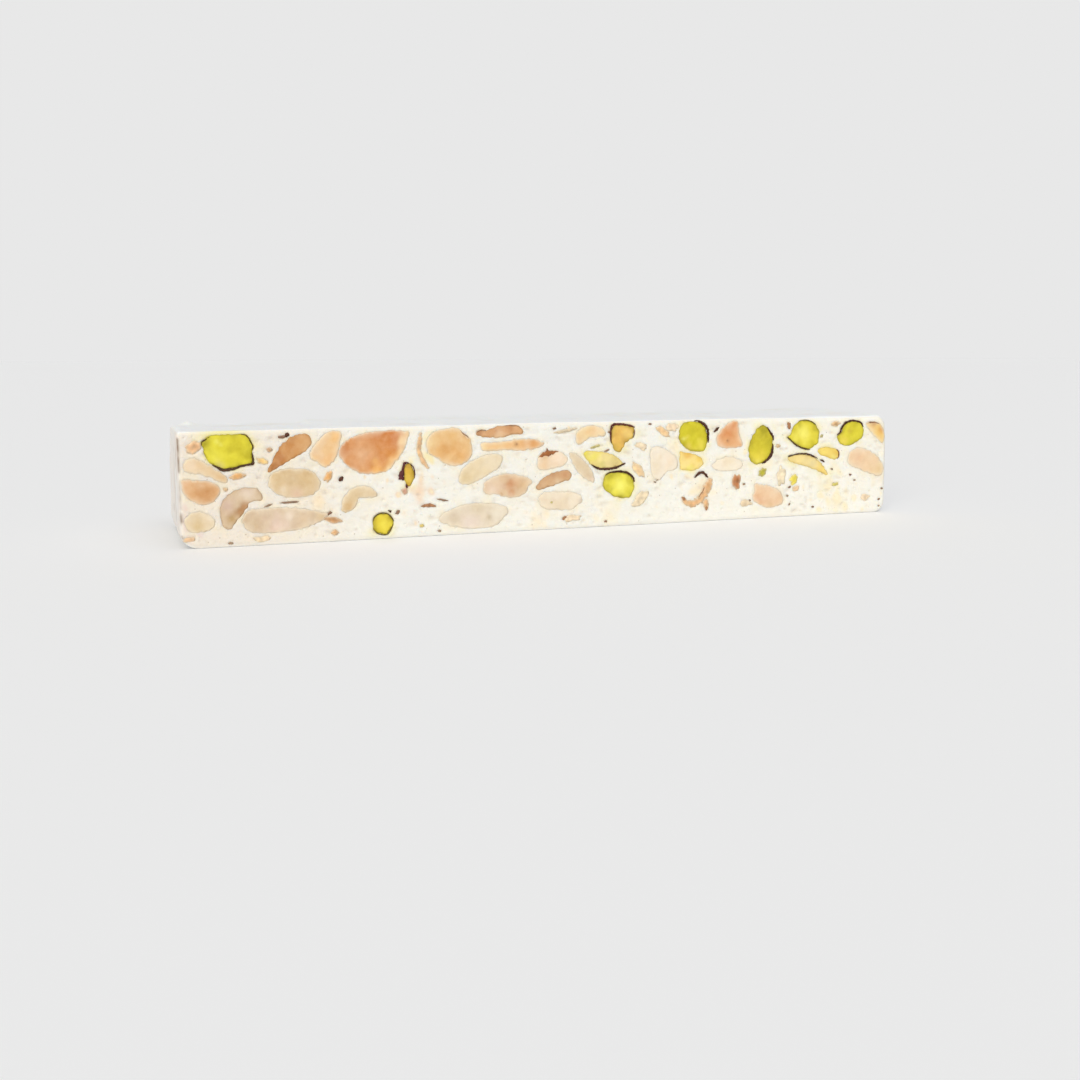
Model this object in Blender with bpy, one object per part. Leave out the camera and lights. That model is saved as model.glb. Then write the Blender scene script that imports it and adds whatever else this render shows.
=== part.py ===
"""A nougat bar with whole almonds and pistachios.

White nougat is set in a frame round the nuts, so its top, base and two ends are smooth, and the
slab is then sliced along both long faces, which cuts the nuts flush and shows their sections.
The bar is one solid of nougat with a socket for every large nut, and each nut is its own solid.

Metres, +Z up. The origin is the centre of the base, +X runs along the bar, and the sliced face
that is looked at faces -Y. Nuts are laid out in millimetres on their face: along X and up Z.
"""

import math
import random
from dataclasses import dataclass

import bmesh
import bpy
from mathutils import Matrix

MM = 0.001

# Driving dimensions
LENGTH = 210 * MM
DEPTH = 44 * MM
HEIGHT = 30 * MM
# The frame's corners round the bar's four lengthwise corners unevenly.
LEFT_TOP_ROUND = 1.2 * MM
LEFT_BASE_ROUND = 4.5 * MM
RIGHT_TOP_ROUND = 3.8 * MM
RIGHT_BASE_ROUND = 3.2 * MM
ROUND_SEGMENTS = 5
CUT_EDGE = 0.4 * MM
SOCKET_GAP = 0.3 * MM

FRONT, BACK = -1, 1
LARGE_NUT = 9.0
RINGS = 5
# The face cuts a nut half way between its two middle rings, where the facets are this share of
# the full radius.
SECTION_SHARE = math.cos(math.pi / (2 * (RINGS - 1) + 2))

# The back face's layout: a row of cells along the bar in two courses, one nut in each cell.
BACK_COLUMNS = 9
BACK_COURSES = 2
BACK_MARGIN = 2.2
BACK_SEED = 11

# sRGB colour and roughness of each finish
FINISHES = {
    "nougat": ("#F6F0E3", 0.55),
    "almond_white": ("#EFE1CD", 0.50),
    "almond_pale": ("#E2CAA8", 0.50),
    "almond_tan": ("#E8BC88", 0.48),
    "almond_roast": ("#CF9258", 0.45),
    "pistachio_green": ("#DDD13E", 0.45),
    "pistachio_lemon": ("#FBE187", 0.45),
    "pistachio_ochre": ("#EDC562", 0.45),
}


@dataclass
class Nut:
    """One nut's section on its face, in millimetres and degrees.

    turn tilts the long axis up to the right. taper narrows the right end, or the left if it is
    negative. bend curves the long axis down at both ends. lobes is (how many, how deep, where
    the first one points) and gives the section its corners.
    """

    finish: str
    along: float
    up: float
    long: float
    wide: float
    turn: float = 0.0
    taper: float = 0.0
    bend: float = 0.0
    lobes: tuple = (3, 0.0, 0.0)
    side: int = FRONT

    def kind(self):
        return self.finish.split("_")[0]

    def segments(self):
        return 14 if self.long >= LARGE_NUT else 12

    def depth(self):
        """How far the nut reaches into the bar: a thick section belongs to a deep nut."""
        return min(8.0, max(3.2, 0.7 * self.wide + 1.6))


FRONT_NUTS = [
    Nut("almond_tan", -99.5, 14.1, 8.9, 6.2, -26, -0.10, 0, (3, 0.05, 60)),
    Nut("almond_pale", -100.2, 6.8, 7.6, 4.7, -4),
    Nut("almond_pale", -98.6, 19.8, 11.8, 3.1, -26, 0.10),
    Nut("pistachio_green", -92.4, 24.8, 12.8, 8.6, -6, -0.05, 0, (5, 0.04, 40)),
    Nut("almond_pale", -91.3, 11.7, 15.0, 3.9, 41, 0.05, 128),
    Nut("almond_pale", -78.7, 6.5, 22.4, 6.4, 1, 0.35),
    Nut("almond_roast", -77.1, 23.9, 14.2, 4.7, 42, -0.35),
    Nut("almond_pale", -76.0, 15.4, 13.2, 7.2, -7, 0.06),
    Nut("almond_tan", -68.0, 24.2, 10.8, 5.2, 55, -0.10),
    Nut("almond_pale", -60.0, 12.4, 11.2, 3.2, 28, 0.05, 108),
    Nut("almond_roast", -55.3, 23.3, 18.0, 11.0, 3, 0.07, 0, (4, -0.05, 0)),
    Nut("pistachio_green", -53.0, 4.2, 6.2, 5.8, 0, 0.0, 0, (5, 0.04, 20)),
    Nut("pistachio_ochre", -46.1, 17.0, 6.8, 4.0, 84, 0.15),
    Nut("almond_tan", -34.1, 24.2, 12.0, 9.4, -4, 0.0, 0, (6, 0.04, 25)),
    Nut("almond_white", -27.6, 5.0, 20.2, 6.2, 3, -0.15),
    Nut("almond_white", -26.4, 17.7, 13.4, 5.8, 25, -0.10),
    Nut("almond_tan", -20.2, 27.9, 13.4, 2.6, 3, 0.0, 22),
    Nut("almond_pale", -18.2, 13.2, 14.4, 5.6, -2, 0.12, 44),
    Nut("almond_tan", -16.3, 24.1, 18.8, 2.8, 0, 0.25),
    Nut("almond_tan", -4.4, 14.2, 10.8, 3.2, 19, 0.0, 14),
    Nut("almond_white", -5.0, 19.7, 8.6, 5.0, 7, 0.10, 0, (4, -0.04, 0)),
    Nut("almond_white", -2.6, 8.0, 13.8, 4.6, -7, 0.05),
    Nut("almond_white", 3.9, 17.1, 9.0, 3.3, -49),
    Nut("almond_tan", 6.6, 27.2, 9.8, 3.1, 15, 0.0, 100),
    Nut("pistachio_lemon", 11.1, 19.2, 13.4, 4.3, -15, 0.05, -12),
    Nut("pistachio_lemon", 15.3, 11.8, 9.8, 7.3, -10, 0.0, 0, (5, 0.03, 20)),
    Nut("pistachio_ochre", 16.2, 25.1, 7.8, 7.5, -104, 0.42, 0, (3, 0.10, 180)),
    Nut("almond_white", 29.0, 17.6, 11.2, 7.2, -66, 0.20, 0, (3, 0.05, 60)),
    Nut("pistachio_lemon", 38.3, 17.4, 7.4, 4.4, -12, 0.10),
    Nut("pistachio_green", 38.9, 24.8, 9.2, 8.3, -40, 0.05, 0, (5, 0.03, 0)),
    Nut("almond_white", 49.9, 16.6, 10.8, 4.2, 0),
    Nut("almond_tan", 51.0, 24.9, 8.6, 8.0, 0, 0.0, 0, (3, 0.14, 64)),
    Nut("pistachio_green", 61.2, 22.1, 12.2, 8.0, 74, -0.02, 0, (4, 0.03, 15)),
    Nut("almond_tan", 63.6, 6.9, 11.4, 6.9, -18, -0.06, 0, (4, 0.04, 8)),
    Nut("pistachio_lemon", 75.4, 24.6, 10.8, 8.6, 6, -0.10, 0, (5, 0.04, 180)),
    Nut("pistachio_lemon", 77.4, 16.2, 15.4, 3.9, -24, 0.10, 34),
    Nut("pistachio_lemon", 84.2, 19.0, 7.6, 3.0, -7),
    Nut("pistachio_green", 91.7, 24.9, 9.8, 7.2, 28, -0.05, 0, (4, 0.03, 30)),
    Nut("almond_pale", 97.4, 15.6, 13.2, 7.4, -24, 0.08),
    Nut("almond_tan", 100.5, 24.9, 8.2, 3.5, -42, 0.10, 16),
]


def back_nuts():
    """One nut in each cell of the back face, mostly almonds, with sizes that vary in the cell."""
    draw = random.Random(BACK_SEED)
    cell_long = (LENGTH / MM - 2 * BACK_MARGIN) / BACK_COLUMNS
    cell_wide = (HEIGHT / MM - 2 * BACK_MARGIN) / BACK_COURSES
    almonds = ["almond_pale", "almond_tan", "almond_white", "almond_roast"]
    nuts = []
    for course in range(BACK_COURSES):
        for column in range(BACK_COLUMNS):
            along = -LENGTH / MM / 2 + BACK_MARGIN + cell_long * (column + 0.5)
            up = BACK_MARGIN + cell_wide * (course + 0.5)
            if (column + 2 * course) % 4 == 1:
                finish = draw.choice(["pistachio_green", "pistachio_lemon"])
                long, wide = draw.uniform(10.0, 12.5), draw.uniform(7.0, 8.8)
                turn = draw.uniform(-35, 35)
            else:
                finish = draw.choice(almonds)
                long, wide = draw.uniform(15.0, 19.0), draw.uniform(5.2, 8.4)
                turn = draw.uniform(-12, 12)
            taper = draw.uniform(-0.3, 0.3)
            nuts.append(Nut(finish, along, up, long, wide, turn, taper, side=BACK))
    return nuts


def collection(name, hidden=False):
    """A new collection in the scene, left out of renders when it holds only helpers."""
    made = bpy.data.collections.new(name)
    bpy.context.scene.collection.children.link(made)
    made.hide_render = hidden
    return made


def linear(channel):
    """One sRGB channel, 0 to 1, as the linear value that a shader takes."""
    return channel / 12.92 if channel <= 0.04045 else ((channel + 0.055) / 1.055) ** 2.4


def material(name):
    """The Principled material of one finish."""
    colour, roughness = FINISHES[name]
    made = bpy.data.materials.new(name)
    made.use_nodes = True
    shader = made.node_tree.nodes["Principled BSDF"]
    channels = [int(colour[i : i + 2], 16) / 255 for i in (1, 3, 5)]
    shader.inputs["Base Color"].default_value = (*map(linear, channels), 1)
    shader.inputs["Roughness"].default_value = roughness
    shader.inputs["Metallic"].default_value = 0.0
    return made


def block_mesh():
    """The bar as set and sliced, before its sockets: a box with each corner rounded."""
    bm = bmesh.new()
    size = Matrix.Diagonal((LENGTH, DEPTH, HEIGHT, 1))
    bmesh.ops.create_cube(bm, size=1, matrix=Matrix.Translation((0, 0, HEIGHT / 2)) @ size)
    rounds = {
        (-1, 1): LEFT_TOP_ROUND,
        (-1, -1): LEFT_BASE_ROUND,
        (1, 1): RIGHT_TOP_ROUND,
        (1, -1): RIGHT_BASE_ROUND,
    }
    for (end, level), radius in rounds.items():
        corner = (end * LENGTH / 2, HEIGHT / 2 * (1 + level))
        edges = [e for e in bm.edges if all(at_corner(v, corner) for v in e.verts)]
        bevel(bm, edges, radius, ROUND_SEGMENTS)
    for side in (FRONT, BACK):
        outline = [e for e in bm.edges if all(on_face(v, side) for v in e.verts)]
        bevel(bm, outline, CUT_EDGE, 1)
    mesh = bpy.data.meshes.new("block")
    bm.to_mesh(mesh)
    bm.free()
    return mesh


def at_corner(vert, corner):
    return math.dist((vert.co.x, vert.co.z), corner) < 0.01 * MM


def on_face(vert, side):
    return abs(vert.co.y - side * DEPTH / 2) < 0.01 * MM


def bevel(bm, edges, width, segments):
    """Rounds edges to width, measured along the faces that meet there."""
    bmesh.ops.bevel(
        bm, geom=edges, offset=width, segments=segments, profile=0.5, affect="EDGES"
    )


def section_point(nut, across, rise):
    """Where a point of the unit disc lies in the nut's section, in millimetres."""
    angle = math.atan2(rise, across)
    count, deep, first = nut.lobes
    swell = (1 + deep * math.cos(count * (angle - math.radians(first)))) / SECTION_SHARE
    reach = across * swell
    offset = rise * swell * (1 - nut.taper * across) * nut.wide / 2
    if not nut.bend:
        return reach * nut.long / 2, offset
    half_bend = math.radians(nut.bend) / 2
    radius = nut.long / 2 / half_bend
    place = reach * half_bend
    return (radius + offset) * math.sin(place), (radius + offset) * math.cos(place) - radius


def nut_mesh(nut, name):
    """The whole nut, from a sphere whose poles point into the bar and out of it."""
    bm = bmesh.new()
    bmesh.ops.create_uvsphere(
        bm,
        u_segments=nut.segments(),
        v_segments=RINGS,
        radius=1,
        matrix=Matrix.Rotation(math.pi / 2, 4, "X"),
    )
    for vert in bm.verts:
        x, z = section_point(nut, vert.co.x, vert.co.z)
        vert.co = (x * MM, vert.co.y * nut.depth() * MM, z * MM)
    bmesh.ops.recalc_face_normals(bm, faces=bm.faces)
    mesh = bpy.data.meshes.new(name)
    bm.to_mesh(mesh)
    bm.free()
    mesh.shade_smooth()
    return mesh


def place(name, mesh, home, nut=None):
    """A new object of this mesh, set on the nut's face if it belongs to one."""
    made = bpy.data.objects.new(name, mesh)
    home.objects.link(made)
    if nut:
        made.location = (nut.along * MM, nut.side * DEPTH / 2, nut.up * MM)
        made.rotation_euler = (0, -math.radians(nut.turn), 0)
    return made


def helper(made):
    """Marks an object that only shapes others."""
    made.hide_render = True
    made.display_type = "WIRE"
    return made


def add_nut(nut, name, bar, sockets, block):
    """The nut trimmed flush with the bar, and the slightly larger cutter of its socket."""
    mesh = nut_mesh(nut, name)
    trimmed = place(name, mesh, bar, nut)
    trimmed.data.materials.append(bpy.data.materials[nut.finish])
    trim = trimmed.modifiers.new("trim flush", "BOOLEAN")
    trim.operation = "INTERSECT"
    trim.object = block
    cutter = helper(place(name + "_socket", mesh, sockets, nut))
    swell = cutter.modifiers.new("gap", "DISPLACE")
    swell.mid_level = 0.0
    swell.strength = SOCKET_GAP


def names(nuts):
    """Each nut with its name: the face, the kind and a number that counts along the face."""
    counts = {}
    for nut in nuts:
        face = "front" if nut.side == FRONT else "back"
        stem = f"{face}_{nut.kind()}"
        counts[stem] = counts.get(stem, 0) + 1
        yield nut, f"{stem}_{counts[stem]:02d}"


def build():
    for old in list(bpy.data.objects):
        bpy.data.objects.remove(old)
    bar = collection("nougat_bar")
    sockets = collection("sockets", hidden=True)
    helpers = collection("helpers", hidden=True)
    for name in FINISHES:
        material(name)

    block = helper(place("block", block_mesh(), helpers))
    nougat = place("nougat", block.data.copy(), bar)
    nougat.data.materials.append(bpy.data.materials["nougat"])
    for nut, name in names(FRONT_NUTS + back_nuts()):
        add_nut(nut, name, bar, sockets, block)
    cut = nougat.modifiers.new("sockets", "BOOLEAN")
    cut.operation = "DIFFERENCE"
    cut.operand_type = "COLLECTION"
    cut.collection = sockets


build()
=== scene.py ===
# %% [markdown]
# # A nougat bar, sliced through its almonds and pistachios
#
# Nougat is egg white whipped into hot honey and sugar. Whole nuts are stirred in, the paste is
# pressed into a frame, and when it has set a knife slices the slab. So a bar has two kinds of
# surface: smooth skin where the frame was, and a cut face where the knife opened every nut.
# The frame below gives the bar and one plain solid for each large nut. This script makes the
# surfaces: what the knife did to the paste, the flesh and the skin of each nut, and the crumbs.

# %% Load the frame
import math
from dataclasses import dataclass, field

import bmesh
import bpy
import numpy as np
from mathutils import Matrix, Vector
from mathutils.geometry import delaunay_2d_cdt


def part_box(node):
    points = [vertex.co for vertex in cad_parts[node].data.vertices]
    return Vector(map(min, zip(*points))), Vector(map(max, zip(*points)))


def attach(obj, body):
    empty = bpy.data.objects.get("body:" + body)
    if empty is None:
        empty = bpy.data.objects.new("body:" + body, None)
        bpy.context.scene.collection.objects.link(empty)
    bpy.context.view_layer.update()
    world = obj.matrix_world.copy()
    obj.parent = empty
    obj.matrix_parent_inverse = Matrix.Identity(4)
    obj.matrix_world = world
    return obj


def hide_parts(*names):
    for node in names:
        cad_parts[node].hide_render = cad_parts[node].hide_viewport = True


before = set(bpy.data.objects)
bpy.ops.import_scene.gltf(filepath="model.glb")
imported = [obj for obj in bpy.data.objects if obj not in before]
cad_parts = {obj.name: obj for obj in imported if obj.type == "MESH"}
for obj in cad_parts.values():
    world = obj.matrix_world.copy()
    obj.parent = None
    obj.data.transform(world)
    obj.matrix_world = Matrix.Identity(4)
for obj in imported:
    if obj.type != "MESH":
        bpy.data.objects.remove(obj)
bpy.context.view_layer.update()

MM = 0.001


def box_of(node):
    """The lowest and the highest corner of a node, in millimetres."""
    return [np.array(corner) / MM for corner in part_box(node)]


low, high = box_of("nougat")
LENGTH, DEPTH, HEIGHT = high - low
NUTS = sorted(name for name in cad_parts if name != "nougat")
print(f"bar {LENGTH:.0f} x {DEPTH:.0f} x {HEIGHT:.0f} mm with {len(NUTS)} large nuts")

# %% [markdown]
# ## Colours and nodes
#
# Colours are easiest to pick as sRGB hex values, the way a paint program shows them, but shaders
# add light up in linear values. One function turns the first into the second. A second one adds
# a shader node with its settings and its links in one call, so a material reads as a short list.
# Most of the colouring is done on the points of the meshes, so two more work on arrays of colours.

# %% Colour and node helpers
def linear(colour):
    """An sRGB hex colour as the linear red, green, blue and alpha that a shader takes."""
    channels = [int(colour[i : i + 2], 16) / 255 for i in (1, 3, 5)]
    return [c / 12.92 if c <= 0.04045 else ((c + 0.055) / 1.055) ** 2.4 for c in channels] + [1]


def add(material, kind, sockets=None, **settings):
    """Adds a node. A socket takes a value, or the output of another node as its link."""
    node = material.node_tree.nodes.new("ShaderNode" + kind)
    for name, value in settings.items():
        setattr(node, name, value)
    for socket, value in (sockets or {}).items():
        if isinstance(value, bpy.types.NodeSocket):
            material.node_tree.links.new(value, node.inputs[socket])
        else:
            node.inputs[socket].default_value = value
    return node


def new_material(name):
    """A material of that name with nothing in its node tree yet."""
    material = bpy.data.materials.new(name)
    material.use_nodes = True
    material.node_tree.nodes.clear()
    return material


def per_metre(size_mm):
    """The Scale of a noise or cell pattern whose features are this many millimetres apart."""
    return 1 / (size_mm * MM)


def plain(colour, count):
    """An array of one hex colour, repeated count times as linear red, green and blue."""
    return np.tile(linear(colour)[:3], (count, 1))


def tint(tones, colour, share):
    """Moves an array of linear colours towards a hex colour, each by its own share of the way."""
    tones += (np.array(linear(colour)[:3]) - tones) * share[:, None]


# %% [markdown]
# ## Camera
#
# The bar is small, so a product photographer comes in to a third of a metre with a normal lens.
# The camera stands in front of the bar's left end and a little above it. It looks to the right
# and slightly down.

# %% Camera
CAMERA_AT = Vector((-115.9, -332.1, 49.9)) * MM
CAMERA_DOWN, CAMERA_RIGHT, CAMERA_ROLL = 9.12, 19.11, 0.17  # degrees off a level look along +Y
LENS, SENSOR, NEAREST = 39.45, 36, 10  # millimetres; nothing nearer than the last one shows

camera = bpy.data.objects.new("camera", bpy.data.cameras.new("camera"))
camera.data.lens = LENS
camera.data.sensor_width = SENSOR
camera.data.clip_start = NEAREST * MM
camera.location = CAMERA_AT
camera.rotation_euler = [math.radians(a) for a in (90 - CAMERA_DOWN, CAMERA_ROLL, -CAMERA_RIGHT)]
bpy.context.scene.collection.objects.link(camera)
bpy.context.scene.camera = camera
print(f"camera {CAMERA_AT.length / MM:.0f} mm from the bar's middle, lens {LENS} mm")

# %% [markdown]
# ## Floor and light
#
# White food on a white floor needs light from everywhere, or it goes grey. The sky gives an even
# base. One very wide lamp in front of the bar lights the cut face most, one above lifts the top
# and the floor, and their width keeps every shadow soft.

# %% Floor and light
FLOOR_TONE, FLOOR_RADIUS = "#F3F3F3", 6  # the radius is in metres
SKY_TONE, SKY_SEEN, SKY_LIGHT = "#FFFFFF", 0.807, 0.52
LAMPS = {
    # name: colour, strength, angle of the lamp's disc, height and bearing it shines from
    "front": ("#FFFCF0", 1.33, 46, 24, -32),
    "above": ("#F4F7FF", 0.80, 64, 74, 20),
}


def lay_floor():
    """A wide matt studio floor, which isn't part of the bar."""
    bm = bmesh.new()
    bmesh.ops.create_circle(bm, cap_ends=True, segments=64, radius=FLOOR_RADIUS)
    mesh = bpy.data.meshes.new("floor")
    bm.to_mesh(mesh)
    bm.free()
    floor = bpy.data.objects.new("floor", mesh)
    bpy.context.scene.collection.objects.link(floor)
    paint = new_material("studio_floor_paint")
    shader = add(paint, "BsdfPrincipled", {"Base Color": linear(FLOOR_TONE), "Roughness": 0.9})
    add(paint, "OutputMaterial", {"Surface": shader.outputs[0]})
    mesh.materials.append(paint)


def add_lamp(name, colour, strength, width, height, bearing):
    """A far lamp as wide as width degrees. Bearing 0 stands in front, and it grows to the right."""
    light = bpy.data.lights.new(name, "SUN")
    light.color = linear(colour)[:3]
    light.energy = strength
    light.angle = math.radians(width)
    lamp = bpy.data.objects.new(name, light)
    up, around = math.radians(height), math.radians(bearing)
    source = Vector((math.sin(around) * math.cos(up), -math.cos(around) * math.cos(up), math.sin(up)))
    lamp.rotation_euler = source.to_track_quat("Z", "Y").to_euler()
    bpy.context.scene.collection.objects.link(lamp)


def light_sky():
    """An even sky that lights the bar and shows a little brighter behind the floor's far edge."""
    world = bpy.data.worlds.new("studio")
    bpy.context.scene.world = world
    world.use_nodes = True
    world.node_tree.nodes.clear()
    seen = add(world, "Background", {"Color": linear(SKY_TONE), "Strength": SKY_SEEN})
    lit = add(world, "Background", {"Color": linear(SKY_TONE), "Strength": SKY_LIGHT})
    path = add(world, "LightPath")
    mix = add(world, "MixShader", {0: path.outputs["Is Camera Ray"], 1: lit.outputs[0], 2: seen.outputs[0]})
    add(world, "OutputWorld", {"Surface": mix.outputs[0]})


lay_floor()
for name, lamp in LAMPS.items():
    add_lamp(name, *lamp)
light_sky()
bpy.context.scene.view_settings.view_transform = "Standard"
print("floor, sky and", len(LAMPS), "lamps")

# %% [markdown]
# ## Uneven surfaces
#
# Nothing in food is flat or straight. A sum of cosine waves in random directions is the cheapest
# smooth randomness there is: it is the same on every run, and it takes a real size in
# millimetres.

# %% Random fields
def waves(points, size, seed, count=18):
    """A smooth random field of about unit height, with bumps about size millimetres apart."""
    draw = np.random.default_rng(seed)
    across = draw.normal(size=(count, points.shape[1]))
    across /= np.linalg.norm(across, axis=1, keepdims=True)
    pitch = size * draw.uniform(0.7, 1.5, (count, 1))
    phase = draw.uniform(0, 2 * math.pi, count)
    return np.cos(points @ (2 * math.pi * across / pitch).T + phase).sum(1) * math.sqrt(2 / count)


def smooth_step(value, start, end):
    """0 up to start and 1 from end on, with a soft rise between them."""
    t = np.clip((value - start) / (end - start), 0, 1)
    return t * t * (3 - 2 * t)


# %% [markdown]
# ## Front and back
#
# The knife went down the front and the back of the bar. On both, its blade swayed slowly and
# shook a little. One field of ripples lifts the paste and the nuts together, so that a nut stays
# flush with the paste. The other two helpers say which nuts the knife met on each side.

# %% Sides of the bar
FRONT, BACK = -1, 1
SWAY, SHAKE = (0.10, 34), (0.035, 9)  # how high and how far apart the ripples are, in millimetres


def knife_lift(places, side):
    """How far the knife left the cut face from flat, in millimetres, at (along, up) places."""
    seed = 5 if side == FRONT else 6
    return SWAY[0] * waves(places, SWAY[1], seed) + SHAKE[0] * waves(places, SHAKE[1], seed + 10)


def kind_and_side(node):
    """What a nut is and which cut face it lies in, both from its name."""
    kind = "almond" if "almond" in node else "pistachio"
    return kind, FRONT if node.startswith("front") else BACK


def nuts_on(side):
    return [node for node in NUTS if kind_and_side(node)[1] == side]


print(len(nuts_on(FRONT)), "large nuts in the front and", len(nuts_on(BACK)), "in the back")

# %% [markdown]
# ## Outlines on the cut face
#
# A cut nut is a closed outline on the face, and so are a chip and a shred of skin. Drawing one
# takes a dozen points, which a Catmull-Rom curve joins smoothly. A shred of skin is a line with a
# width, so it is drawn as points along its middle and turned into an outline by stepping out to
# both sides.

# %% Outline helpers
EDGE_STEP = 0.35  # millimetres between the points of an outline
TEAR, TEAR_SIZE = 0.18, 0.9  # how much of its width a strip's edge wanders, and over what length


def smooth_line(points, closed):
    """A Catmull-Rom curve through the points, with a point every EDGE_STEP or so."""
    points = np.asarray(points, float)
    if closed:
        padded = np.vstack([points[-1:], points, points[:2]])
    else:
        first, last = 2 * points[:1] - points[1:2], 2 * points[-1:] - points[-2:-1]
        padded = np.vstack([first, points, last])
    line = []
    for a, b, c, d in zip(padded, padded[1:], padded[2:], padded[3:]):
        steps = max(2, round(np.linalg.norm((c - b)[:2]) / EDGE_STEP))
        t = np.arange(steps)[:, None] / steps
        turn = (2 * a - 5 * b + 4 * c - d) * t**2 + (3 * b - a - 3 * c + d) * t**3
        line.append(b + ((c - a) * t + turn) / 2)
    if not closed:
        line.append(points[-1:])
    return np.vstack(line)


def outward(line, closed=True):
    """The unit vector that points out at each point of an anticlockwise outline."""
    ahead, behind = np.roll(line, -1, 0), np.roll(line, 1, 0)
    if not closed:
        ahead[-1], behind[0] = line[-1], line[0]
    along = ahead - behind
    along /= np.maximum(np.linalg.norm(along, axis=1, keepdims=True), 1e-9)
    return np.stack([along[:, 1], -along[:, 0]], 1)


def area_of(line):
    """The area inside an outline, negative where it runs clockwise."""
    x, z = line.T
    return 0.5 * float(np.sum(x * np.roll(z, -1) - z * np.roll(x, -1)))


def anticlockwise(line):
    return line if area_of(line) > 0 else line[::-1].copy()


def roughened(line, depth, size, seed):
    """The outline with its edge moved in and out by about depth."""
    return line + outward(line) * (depth * waves(line, size, seed))[:, None]


def strip_outline(points, seed):
    """The outline of a shred: points are (along, up, width) down its middle."""
    middle = smooth_line(points, closed=False)
    side = outward(middle[:, :2], closed=False)
    half = middle[:, 2] / 2
    left = half * (1 + TEAR * waves(middle[:, :2], TEAR_SIZE, seed))
    right = half * (1 + TEAR * waves(middle[:, :2], TEAR_SIZE, seed + 1))
    one, other = middle[:, :2] + side * left[:, None], middle[:, :2] - side * right[:, None]
    return anticlockwise(np.vstack([one, other[::-1]]))


def inside(line, places):
    """Which places lie inside the outline."""
    x, z = places.T
    result = np.zeros(len(places), bool)
    for (x0, z0), (x1, z1) in zip(line, np.roll(line, -1, 0)):
        crosses = (z0 > z) != (z1 > z)
        with np.errstate(divide="ignore", invalid="ignore"):
            result ^= crosses & (x < (x1 - x0) * (z - z0) / (z1 - z0) + x0)
    return result


def depth_in(line, places):
    """Distance from each place to the outline in millimetres, positive inside it."""
    start, end = line, np.roll(line, -1, 0)
    run = end - start
    span = np.maximum((run**2).sum(1), 1e-12)
    away = places[:, None] - start[None]
    share = np.clip((away * run[None]).sum(2) / span, 0, 1)
    gap = np.sqrt(((away - share[..., None] * run[None]) ** 2).sum(2)).min(1)
    return np.where(inside(line, places), gap, -gap)


def near_to(shape, places, margin):
    """The numbers of the places that lie in the outline's box or within a margin of it."""
    return np.flatnonzero(np.all((places > shape.min(0) - margin) & (places < shape.max(0) + margin), axis=1))


# %% [markdown]
# ## What the knife showed in each nut
#
# Each large nut of the frame gets the section that the knife left: its true outline, the colour
# of its flesh, blots where the flesh is paler, toasted or greener, and the shreds of dark skin
# that still cling to it. Everything is measured in millimetres from the middle of that nut's own
# box, so it goes wherever the frame puts the nut.

# %% The sections of the front almonds
@dataclass
class Section:
    """A cut nut: its outline, the colour of its flesh, blots (colour, across, up, reach), strips of
    skin as points (across, up, width), and a hollow (across, up, long, deep)."""

    outline: list
    flesh: str
    blots: list = field(default_factory=list)
    skins: list = field(default_factory=list)
    skin: str = "#43271F"
    hollow: tuple = ()


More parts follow.
